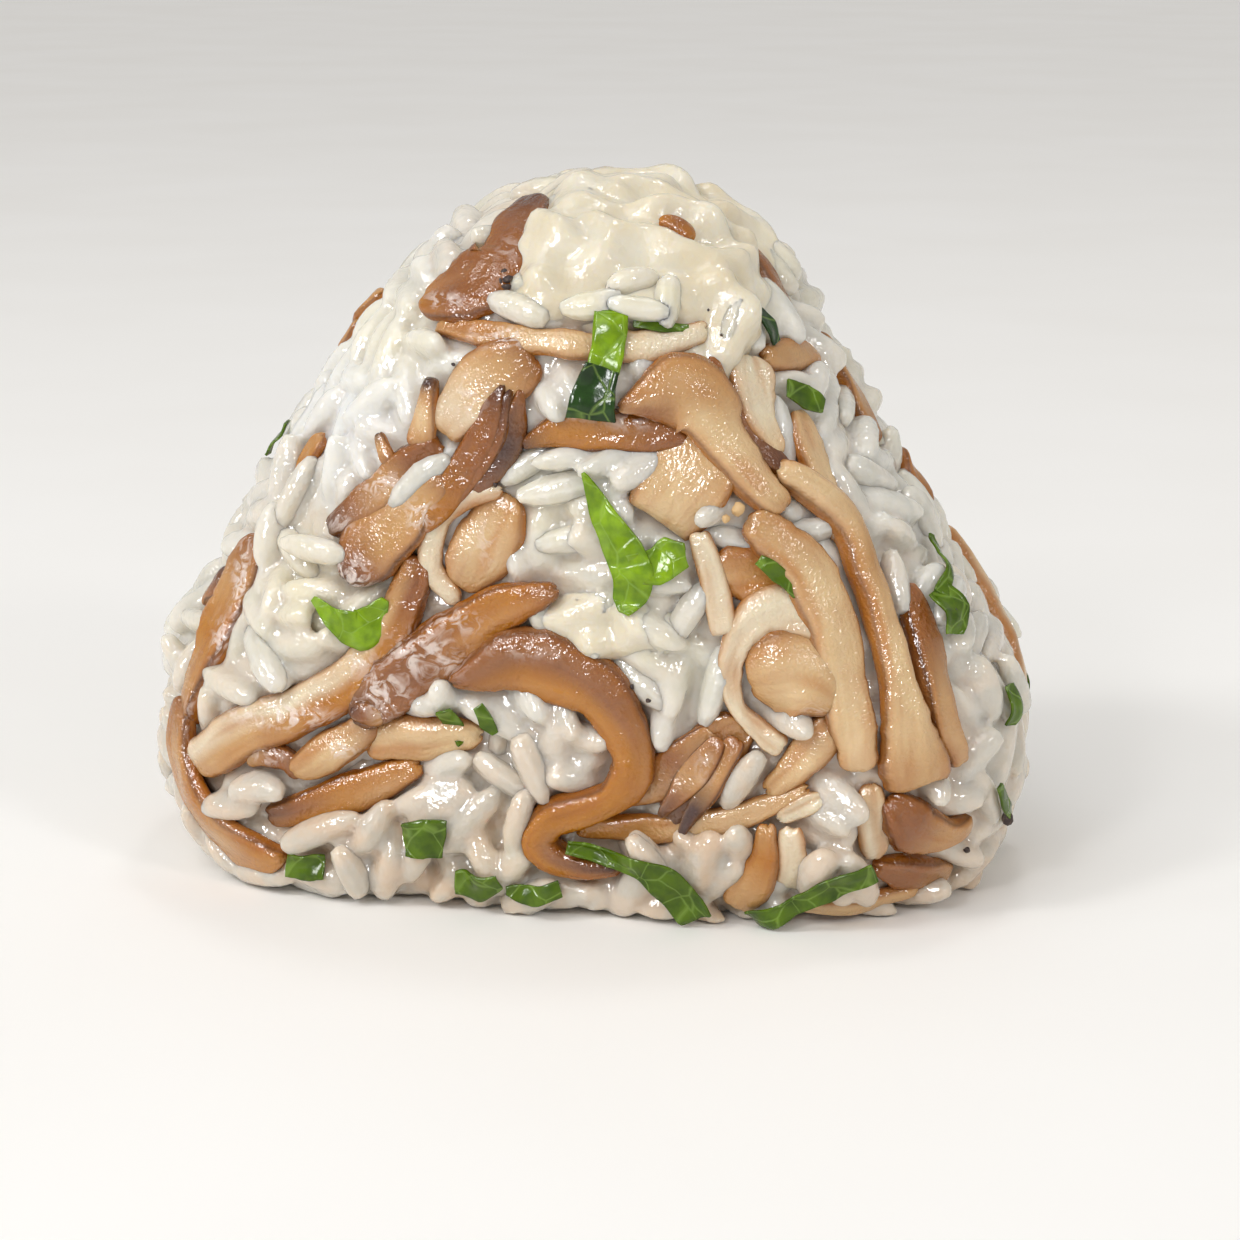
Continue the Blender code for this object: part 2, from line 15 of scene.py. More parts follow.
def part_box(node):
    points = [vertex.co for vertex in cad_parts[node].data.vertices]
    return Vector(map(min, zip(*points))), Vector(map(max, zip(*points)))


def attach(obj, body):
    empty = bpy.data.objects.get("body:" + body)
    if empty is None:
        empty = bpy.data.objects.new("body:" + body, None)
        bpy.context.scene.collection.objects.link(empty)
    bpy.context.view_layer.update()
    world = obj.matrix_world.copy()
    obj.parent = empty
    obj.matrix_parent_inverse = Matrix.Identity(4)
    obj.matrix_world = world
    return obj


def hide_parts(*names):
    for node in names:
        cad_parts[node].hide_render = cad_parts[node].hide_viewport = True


bl_info = {
    "name": "Rice Ball",
    "version": (1, 0, 0),
    "blender": (4, 5, 0),
    "location": "View3D > Sidebar > Rice Ball",
    "description": "Models a hand-pressed rice ball with mushroom, herb leaf and melted cheese",
    "category": "Object",
}

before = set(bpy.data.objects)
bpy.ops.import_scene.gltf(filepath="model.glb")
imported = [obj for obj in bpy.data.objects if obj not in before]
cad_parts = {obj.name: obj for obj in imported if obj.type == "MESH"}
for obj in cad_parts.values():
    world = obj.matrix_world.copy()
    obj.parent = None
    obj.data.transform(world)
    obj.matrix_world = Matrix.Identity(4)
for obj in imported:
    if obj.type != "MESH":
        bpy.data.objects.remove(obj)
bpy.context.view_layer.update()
RICE_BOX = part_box("rice_ball")

# Lengths and places below are in millimetres, in the frame's axes.
MM = 0.001

# The pressed body: the solid's own form, a triangle with round corners and a soft crest
CORNERS = np.array([[-17.3, 13.4], [18.1, 13.4], [0.6, 41.0], [-3.4, 36.6]])
CORNER_RADIUS = 22.0
DEPTH = 42.0
CROWN = 1.2
CROWN_REACH = 30.0
SHOULDER = 17.0
SHOULDER_POWER = 2.3
BODY_HEIGHT = RICE_BOX[1].z / MM
EDGES = list(zip(CORNERS, np.roll(CORNERS, -1, axis=0)))

SEED = 7
FRONT = -1.0
BACK = 1.0


# ------------------------------------------------------------------ settings
def rgb(red, green, blue):
    """Linear colour from 8-bit display values."""
    values = [channel / 255.0 for channel in (red, green, blue)]
    return tuple(
        value / 12.92 if value <= 0.04045 else ((value + 0.055) / 1.055) ** 2.4
        for value in values
    )


def colour_setting(name, description, *display):
    """A colour that the user can change, from its 8-bit display values."""
    return FloatVectorProperty(
        name=name, description=description, default=rgb(*display), subtype="COLOR")


def length_setting(name, description, length):
    """A length that the user can change, from millimetres."""
    return FloatProperty(name=name, description=description, default=length * MM, unit="LENGTH")


def angle_setting(name, description, degrees):
    """An angle that the user can change."""
    return FloatProperty(
        name=name, description=description, default=math.radians(degrees), subtype="ANGLE")


class RiceSettings(bpy.types.PropertyGroup):
    """Sizes and colours of the rice."""

    grain_length: length_setting("Grain length", "Length of a cooked grain", 7.0)
    grain_width: length_setting("Grain width", "Thickness of a cooked grain", 3.05)
    outer_count: IntProperty(
        name="Outer grains", description="Grains in the layer that shows", default=980)
    inner_count: IntProperty(
        name="Inner grains", description="Grains that show between those", default=560)
    glue_voxel: length_setting("Core detail", "Detail of the sticky core under the grains", 0.42)
    white: colour_setting("Grain", "Colour of the rice", 217, 213, 203)
    # Also the colour of the painted shade in the creases between grains
    shade: colour_setting("Soaked grain", "Colour of rice soaked with broth", 204, 180, 154)


class MushroomSettings(bpy.types.PropertyGroup):
    """Colours of the cooked mushroom."""

    brown: colour_setting("Cap", "Brown of the caps", 141, 86, 38)
    dark: colour_setting("Frond edge", "Dark purple-brown of the thin fronds", 68, 38, 32)
    amber: colour_setting("Amber", "Half-clear amber of the thin flesh", 176, 114, 22)
    tan: colour_setting("Tan", "Tan of the upper stems", 190, 147, 94)
    cream: colour_setting("Stem", "Cream of the stems", 213, 184, 140)
    pale: colour_setting("Pale stem", "Near white of the thinnest stems", 222, 209, 182)


class GarnishSettings(bpy.types.PropertyGroup):
    """Colours of the herb, the cheese and the pepper."""

    leaf: colour_setting("Leaf", "Green of the upper side of a leaf", 84, 112, 6)
    dark_leaf: colour_setting("Dark leaf", "Green of a bruised, folded leaf", 34, 66, 18)
    bright_leaf: colour_setting("Bright leaf", "Green of a freshly cut leaf", 132, 168, 12)
    cheese: colour_setting("Cheese", "Colour of the melted cheese", 218, 207, 182)
    pepper: colour_setting("Pepper", "Colour of the pepper specks", 58, 46, 44)


class StageSettings(bpy.types.PropertyGroup):
    """Floor, light and camera."""

    floor: colour_setting("Floor", "Colour of the floor", 248, 247, 245)
    azimuth: angle_setting("Azimuth", "Turn of the camera round the rice ball", 10.0)
    elevation: angle_setting("Elevation", "Height angle of the camera", 14.0)
    distance: length_setting("Distance", "Camera distance", 290.0)
    lens: FloatProperty(
        name="Lens", description="Focal length of the camera in millimetres", default=90.5)


# -------------------------------------------------------------- body geometry
def feet_in_corners(points):
    """Nearest points of the outline through the corners, the gap to it, and what is inside."""
    feet = []
    turns = []
    for start, end in EDGES:
        run = end - start
        share = np.clip((points - start) @ run / (run @ run), 0.0, 1.0)
        feet.append(start + share[:, None] * run)
        aside = points - start
        turns.append(run[0] * aside[:, 1] - run[1] * aside[:, 0])
    feet = np.array(feet)
    gaps = np.linalg.norm(feet - points, axis=2)
    nearest = feet[gaps.argmin(axis=0), np.arange(len(points))]
    inside = np.min(turns, axis=0) >= 0.0
    nearest[inside] = points[inside]
    return nearest, gaps.min(axis=0), inside


def inset(points):
    """How far x, z points lie inside the rounded triangular outline."""
    _, gap, inside = feet_in_corners(points)
    return CORNER_RADIUS + np.where(inside, gap, -gap)


def level(points):
    """Below zero inside the body, zero on its surface, above zero outside."""
    depth_in = inset(points[:, [0, 2]])
    reach = np.maximum(0.0, 1.0 - depth_in / SHOULDER)
    swell = 1.0 - np.clip(1.0 - np.maximum(depth_in, 0.0) / CROWN_REACH, 0.0, 1.0) ** 2
    half_depth = DEPTH / 2 - CROWN + CROWN * swell
    across = np.abs(points[:, 1]) / half_depth
    return (reach ** SHOULDER_POWER + across ** SHOULDER_POWER) ** (1 / SHOULDER_POWER) - 1.0


def unit(vectors):
    """The same directions, one long."""
    return vectors / np.maximum(np.linalg.norm(vectors, axis=-1, keepdims=True), 1e-9)


def slope(points, step=0.05):
    """Gradient of the body's level at points."""
    parts = [level(points + axis * step) - level(points - axis * step) for axis in np.eye(3)]
    return np.stack(parts, axis=1) / (2 * step)


def outward(points):
    """Unit normals of the body's surface."""
    return unit(slope(points))


def height_over(points):
    """Distance of points over the body's surface, near enough, and the normals there."""
    rise = slope(points)
    steepness = np.maximum(np.linalg.norm(rise, axis=1), 1e-6)
    return level(points) / steepness, rise / steepness[:, None]


def cast(start, direction, reach=70.0, halvings=26):
    """Where rays from inside the body leave its surface."""
    near = np.zeros(len(start))
    far = np.full(len(start), reach)
    for _ in range(halvings):
        middle = (near + far) / 2
        inside = level(start + direction * middle[:, None]) < 0.0
        near = np.where(inside, middle, near)
        far = np.where(inside, far, middle)
    return start + direction * near[:, None]


def in_middle_plane(flat):
    """Points between the faces at x, z places."""
    return np.stack([flat[:, 0], np.zeros(len(flat)), flat[:, 1]], axis=1)


def on_face(places, side, margin=0.5):
    """Points of the front or back face at x, z places."""
    flat = np.array(places, float)
    nearest = feet_in_corners(flat)[0]
    edge = nearest + unit(flat - nearest) * (CORNER_RADIUS - margin)
    flat = np.where((inset(flat) < margin)[:, None], edge, flat)
    return cast(in_middle_plane(flat), np.tile([0.0, side, 0.0], (len(flat), 1)))


def on_side(places):
    """Surface points straight out from the core through x, y, z places."""
    wanted = np.array(places, float)
    start = in_middle_plane(feet_in_corners(wanted[:, [0, 2]])[0])
    return cast(start, unit(wanted - start))


def curve_through(points, share):
    """Catmull-Rom values of a list of points at shares of its length."""
    last = len(points) - 1
    place = np.clip(share * last, 0.0, last - 1e-6)
    first = place.astype(int)
    t = (place - first)[:, None]
    before = points[np.maximum(first - 1, 0)]
    start = points[first]
    end = points[first + 1]
    after = points[np.minimum(first + 2, last)]
    return 0.5 * (
        start * 2.0
        + (end - before) * t
        + (before * 2.0 - start * 5.0 + end * 4.0 - after) * t ** 2
        + (start * 3.0 - before - end * 3.0 + after) * t ** 3
    )


def heading_of(points, share, step):
    """Directions of the curve through points at shares of its length."""
    ahead = curve_through(points, np.minimum(share + step, 1.0))
    behind = curve_through(points, np.maximum(share - step, 0.0))
    return unit(ahead - behind)


def travelled(points):
    """Length of the line through points."""
    return np.linalg.norm(np.diff(points, axis=0), axis=1).sum()


def values_along(share, stops):
    """Numbers or colours at shares of a run with evenly spaced stops."""
    marks = np.linspace(0.0, 1.0, len(stops))
    return np.stack([np.interp(share, marks, stop) for stop in np.array(stops).T], axis=1)


# --------------------------------------------------------------- mesh helpers
@contextmanager
def editing(mesh):
    """A bmesh of a mesh, written back to it at the end."""
    work = bmesh.new()
    work.from_mesh(mesh)
    yield work
    work.to_mesh(mesh)
    work.free()


def shaped(name, create, **sizes):
    """A mesh of one simple shape."""
    mesh = bpy.data.meshes.new(name)
    with editing(mesh) as work:
        create(work, **sizes)
    return mesh


def joined(name, meshes):
    """One mesh of several, which it uses up."""
    whole = bpy.data.meshes.new(name)
    with editing(whole) as work:
        for mesh in meshes:
            work.from_mesh(mesh)
    for mesh in set(meshes):
        bpy.data.meshes.remove(mesh)
    return whole


def new_object(name, data):
    """An object for a mesh, a light or a camera, linked to the scene."""
    made = bpy.data.objects.new(name, data)
    bpy.context.scene.collection.objects.link(made)
    return made


def vertices(mesh):
    """A mesh's vertex places as an array."""
    values = np.empty(len(mesh.vertices) * 3)
    mesh.vertices.foreach_get("co", values)
    return values.reshape(-1, 3)


def set_vertices(mesh, places, floor=None):
    """Move a mesh's vertices to the places of an array, none of them lower than a floor."""
    if floor is not None:
        places[:, 2] = np.maximum(places[:, 2], floor)
    mesh.vertices.foreach_set("co", np.asarray(places, float).ravel())
    mesh.update()


def paint(mesh, **layers):
    """Store numbers for each vertex of a mesh, one layer for each name."""
    for name, values in layers.items():
        layer = mesh.attributes.new(name, "FLOAT", "POINT")
        layer.data.foreach_set("value", np.asarray(values, float))


def paint_tint(mesh, colours):
    """Store a flesh or leaf colour for each vertex of a mesh."""
    layer = mesh.color_attributes.new("tint", "FLOAT_COLOR", "POINT")
    full = np.concatenate([colours, np.ones((len(colours), 1))], axis=1)
    layer.data.foreach_set("color", full.ravel())


def lay_flesh(mesh, along, across):
    """Map a mesh by how far along and across it each vertex lies, in millimetres."""
    flesh = mesh.uv_layers.new(name="flesh")
    corner = np.empty(len(mesh.loops), dtype=np.int64)
    mesh.loops.foreach_get("vertex_index", corner)
    flesh.data.foreach_set("uv", np.stack([along, across], axis=1)[corner].ravel())


def modified(made, kind, **settings):
    """Put a modifier of a kind on an object and apply it to its mesh."""
    modifier = made.modifiers.new(kind.title(), kind)
    for name, value in settings.items():
        setattr(modifier, name, value)
    depsgraph = bpy.context.evaluated_depsgraph_get()
    mesh = bpy.data.meshes.new_from_object(made.evaluated_get(depsgraph))
    made.modifiers.clear()
    made.data = mesh


def weld(mesh, distance):
    """Merge a mesh's doubles and turn its faces outward."""
    with editing(mesh) as work:
        bmesh.ops.remove_doubles(work, verts=work.verts, dist=distance)
        bmesh.ops.recalc_face_normals(work, faces=work.faces)


def smoothed(mesh, rounds):
    """Even out a mesh's surface."""
    with editing(mesh) as work:
        for _ in range(rounds):
            bmesh.ops.smooth_vert(
                work, verts=work.verts, factor=0.5,
                use_axis_x=True, use_axis_y=True, use_axis_z=True)


def grain_noise(*axes):
    """Smooth noise from -1 to 1 at places given axis by axis."""
    places = np.stack(np.broadcast_arrays(*axes), axis=1)
    return np.array([noise.noise(Vector(place)) for place in places])


def crumple(places, size, strength, offset):
    """Smooth random shifts of an array of places.

    The vector noise takes its seed from the clock unless it is given one.
    """
    noise.seed_set(SEED)
    shift = Vector((offset, offset * 1.7, offset * 0.6))
    shifts = [noise.noise_vector(Vector(place) / size + shift) for place in places]
    return strength * np.array(shifts)


def search_tree(places):
    """A tree that finds which of the places lie near another."""
    tree = KDTree(len(places))
    for number, place in enumerate(places):
        tree.insert(place, number)
    tree.balance()
    return tree


def dress(made, material, slot, *nodes):
    """Give a finished piece its material, body and the solids it stands for. Its slot is not used.
    """
    made.data.transform(Matrix.Scale(MM, 4))
    made.data.materials.clear()
    made.data.materials.append(material)
    made.data.shade_smooth()
    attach(made, "root")
    if nodes:
        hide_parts(*nodes)


# ------------------------------------------------------------------ materials
class Field:
    """A shader socket that can stand in Python arithmetic."""

    def __init__(self, finish, socket):
        self.finish = finish
        self.socket = socket

    def maths(self, operation, *values):
        inputs = dict(enumerate(values))
        return self.finish.node("ShaderNodeMath", {"operation": operation}, inputs)

    def __add__(self, other):
        return self.maths("ADD", self, other)

    def __radd__(self, other):
        return self.maths("ADD", other, self)

    def __sub__(self, other):
        return self.maths("SUBTRACT", self, other)

    def __rsub__(self, other):
        return self.maths("SUBTRACT", other, self)

    def __mul__(self, other):
        return self.maths("MULTIPLY", self, other)

    def __rmul__(self, other):
        return self.maths("MULTIPLY", other, self)

    def held(self, low, high):
        """The value stretched so that low gives 0 and high gives 1, and held there."""
        inputs = {"Value": self, "From Min": low, "From Max": high}
        return self.finish.node("ShaderNodeMapRange", {"clamp": True}, inputs)


class Finish:
    """One material: its node tree and its Principled shader."""

    def __init__(self, name, **constants):
        self.material = bpy.data.materials.new(name)
        self.material.use_nodes = True
        self.tree = self.material.node_tree
        self.shader = self.tree.nodes["Principled BSDF"]
        self.done(**constants)

    def node(self, kind, settings=None, inputs=None, output=0):
        """Add a node with its settings and inputs, and give one of its outputs."""
        made = self.tree.nodes.new(kind)
        for name, value in (settings or {}).items():
            setattr(made, name, value)
        for socket, value in (inputs or {}).items():
            self.feed(made.inputs[socket], value)
        return Field(self, made.outputs[output])

    def feed(self, socket, value):
        """Link a field to a socket, or set the socket's own value."""
        if isinstance(value, Field):
            self.tree.links.new(value.socket, socket)
        elif socket.type == "RGBA":
            socket.default_value = (*value, 1.0)
        else:
            socket.default_value = value

    def place(self):
        """The piece's own coordinates, in metres."""
        return self.node("ShaderNodeTexCoord", output="Object")

    def flesh(self):
        """How far along and across the piece a point lies, in millimetres."""
        return self.node("ShaderNodeUVMap", {"uv_map": "flesh"})

    def attribute(self, name, output="Fac"):
        """A value stored on the piece."""
        return self.node("ShaderNodeAttribute", {"attribute_name": name}, output=output)

    def vector(self, operation, first, second):
        """Two sets of coordinates taken together."""
        return self.node("ShaderNodeVectorMath", {"operation": operation}, {0: first, 1: second})

    def noise(self, vector, wavelength, detail=2.0, twist=0.0):
        """Soft noise of a wavelength, in the units of its coordinates."""
        inputs = {
            "Vector": vector, "Scale": 1.0 / wavelength, "Detail": detail, "Distortion": twist}
        return self.node("ShaderNodeTexNoise", inputs=inputs)

    def strands(self, flesh, stretch, wavelength, **settings):
        """Noise drawn out along the flesh."""
        drawn_out = self.vector("MULTIPLY", flesh, (stretch, 1.0, 1.0))
        return self.noise(drawn_out, wavelength, **settings)

    def mix(self, factor, first, second, blend="MIX"):
        """A colour between two, or blended from two."""
        settings = {"data_type": "RGBA", "blend_type": blend}
        return self.node("ShaderNodeMix", settings, {0: factor, 6: first, 7: second}, output=2)

    def bump(self, height, distance, strength=1.0):
        """A normal from a height field; distance is the height's full rise."""
        inputs = {"Height": height, "Distance": distance, "Strength": strength}
        return self.node("ShaderNodeBump", inputs=inputs)

    def done(self, **values):
        """Give the shader's sockets their fields or values, and hand over the material."""
        for socket, value in values.items():
            self.feed(self.shader.inputs[socket.replace("_", " ")], value)
        return self.material


@lru_cache(maxsize=None)
def rice_finish():
    """Moist cooked rice: soft white, half clear, with chalky and soaked grains and painted shade
    in the creases between them.
    """
    rice = bpy.context.scene.rice_ball_rice
    finish = Finish(
        "rice", Subsurface_Weight=1.0, Subsurface_Radius=(1.0, 0.92, 0.76),
        Subsurface_Scale=1.7 * MM, IOR=1.65)
    place = finish.place()
    chalk = finish.attribute("chalk")
    cloud = finish.noise(place, 3.0 * MM)
    lumps = finish.noise(place, 1.3 * MM, detail=1.0)
    crinkle = finish.noise(place, 0.6 * MM, detail=1.0)
    fine = finish.noise(place, 0.3 * MM, detail=1.0)
    # Beige for soaked rice, and painted shade where the rice lies deep in creases
    soaked_and_shaded_rice = finish.mix(finish.attribute("soak"), rice.white, rice.shade)
    half_clear = cloud.held(0.42, 0.6) * (1.0 - chalk) * 0.6
    clear = finish.mix(half_clear, soaked_and_shaded_rice, rgb(188, 188, 180))
    milky = finish.mix(chalk * 0.85, clear, rgb(225, 226, 225))
    coated = finish.attribute("glaze") * (0.3 + 0.45 * cloud.held(0.35, 0.65))
    relief = lumps * (0.6 - 0.3 * chalk) + crinkle * (0.36 - 0.3 * chalk) + fine * 0.07
    return finish.done(
        Base_Color=finish.mix(coated, milky, rgb(229, 220, 190)),
        Roughness=0.06 + 0.08 * cloud.held(0.35, 0.7),
        Normal=finish.bump(relief, 0.23 * MM))


def cheese_finish():
    """Melted cheese: cream, soft and shiny."""
    garnish = bpy.context.scene.rice_ball_garnish
    finish = Finish(
        "melted_cheese", Subsurface_Weight=1.0, Subsurface_Radius=(1.0, 0.86, 0.6),
        Subsurface_Scale=0.6 * MM, IOR=1.55)
    place = finish.place()
    patch = finish.noise(place, 5.0 * MM, detail=3.0)
    fine = finish.noise(place, 0.8 * MM)
    return finish.done(
        Base_Color=finish.mix(patch.held(0.35, 0.7), garnish.cheese, rgb(226, 220, 203)),
        Roughness=0.12 + 0.14 * fine.held(0.35, 0.7),
        Normal=finish.bump(fine * 0.2 + patch * 0.8, 0.45 * MM))


@lru_cache(maxsize=None)
def mushroom_finish():
    """Wet cooked mushroom: fibres along the flesh, mottled, with crinkled shine and a painted pale
    sheen where the film lies.
    """
    finish = Finish(
        "cooked_mushroom", Subsurface_Weight=0.4, Subsurface_Radius=(1.0, 0.66, 0.4),
        Subsurface_Scale=0.9 * MM, IOR=1.6)
    place, flesh = finish.place(), finish.flesh()
    fibre = finish.strands(flesh, 0.08, 0.5)
    strand = finish.strands(flesh, 0.06, 1.9)
    crinkle = finish.strands(flesh, 0.45, 1.0, twist=0.8)
    wrinkle = finish.strands(flesh, 0.5, 0.55, detail=3.0, twist=1.2)
    grit = finish.noise(place, 0.32 * MM, detail=1.0)
    mottle = finish.noise(place, 4.0 * MM)
    tint = finish.attribute("tint", output="Color")
    skin = finish.attribute("skin")
    film = finish.attribute("film")
    deep = finish.mix(0.9, tint, rgb(206, 158, 118), blend="MULTIPLY")
    pale = finish.mix(0.3, tint, rgb(246, 230, 204))
    streaked = finish.mix(fibre.held(0.45, 0.68) * 0.22, tint, deep)
    bright = finish.mix(strand.held(0.5, 0.75) * 0.35, streaked, pale)
    patched = finish.mix(mottle.held(0.45, 0.8) * 0.4, bright, deep)
    relief = fibre * 0.12 + strand * 0.2 + grit * 0.24
    relief += crinkle * (0.1 + 0.75 * skin * mottle.held(0.42, 0.58)) + wrinkle * film * 0.5
    # The film paints a pale lilac-white sheen over its wrinkles
    return finish.done(
        Base_Color=finish.mix(film * wrinkle.held(0.46, 0.6) * 0.75, patched, rgb(236, 222, 214)),
        Roughness=0.17 - 0.1 * mottle.held(0.35, 0.6),
        Normal=finish.bump(relief, 0.45 * MM))


def leaf_finish():
    """Cut herb leaf: veined, glossy above."""
    finish = Finish(
        "herb_leaf", Subsurface_Weight=0.12, Subsurface_Radius=(0.4, 1.0, 0.2),
        Subsurface_Scale=0.4 * MM, IOR=1.4)
    place = finish.place()
    bent = finish.vector("ADD", finish.flesh(), finish.noise(place, 3.0 * MM, detail=1.0))
    cells = finish.node(
        "ShaderNodeTexVoronoi", {"feature": "DISTANCE_TO_EDGE"}, {"Vector": bent, "Scale": 0.42})
    vein = 1.0 - cells.held(0.0, 0.045)
    mottle = finish.noise(place, 1.2 * MM, detail=3.0)
    tint = finish.attribute("tint", output="Color")
    dark = finish.mix(1.0, tint, rgb(150, 170, 140), blend="MULTIPLY")
    shaded = finish.mix(mottle.held(0.4, 0.7) * 0.7, tint, dark)
    return finish.done(
        Base_Color=finish.mix(vein * 0.3, shaded, rgb(160, 192, 90)),
        Roughness=0.14 + 0.1 * mottle.held(0.4, 0.7),
        Normal=finish.bump(mottle * 0.75 - vein * 0.25, 0.16 * MM, 0.8))


def speck_finish(name, colour, rough):
    """Pepper or garlic crumb: dry, grainy."""
    finish = Finish(name, IOR=1.4)
    grit = finish.noise(finish.place(), 0.25 * MM, detail=4.0)
    pale = finish.mix(0.5, colour, rgb(190, 160, 130))
    return finish.done(
        Base_Color=finish.mix(grit.held(0.5, 0.8) * 0.6, colour, pale),
        Roughness=rough + 0.2 * grit,
        Normal=finish.bump(grit, 0.12 * MM, 0.7))


def floor_finish():
    """A matt pale table top."""
    stage = bpy.context.scene.rice_ball_stage
    finish = Finish("floor", IOR=1.4)
    haze = finish.noise(finish.place(), 60.0 * MM)
    lighter = finish.mix(0.35, stage.floor, rgb(240, 238, 234))
    return finish.done(
        Base_Color=finish.mix(haze.held(0.3, 0.7), stage.floor, lighter),
        Roughness=0.62 + 0.1 * haze)


# ------------------------------------------------------------- mushroom bands
# How deep a band lies in the rice, and its thickness and width beside those of its solid
BAND_SINK = 0.95
BAND_THIN = 0.8
BAND_WIDEN = 1.1
BAND_TWIST = math.radians(12.0)

# Detail of a band: the length of a row of faces, and the faces in it
BAND_ROW = 0.34
BAND_SIDES = 44
LENGTH_STEPS = 80

# Flesh colours by their letters in the tables, each with how far its skin crinkles
FLESH = {
    "b": ("brown", 1.0), "d": ("dark", 1.0), "t": ("tan", 0.35),
    "a": ("amber", 0.2), "c": ("cream", 0.0), "p": ("pale", 0.0),
}


def bent(values, power):
    """Sines or cosines bent outward (power under 1) or inward."""
    return np.sign(values) * np.abs(values) ** power


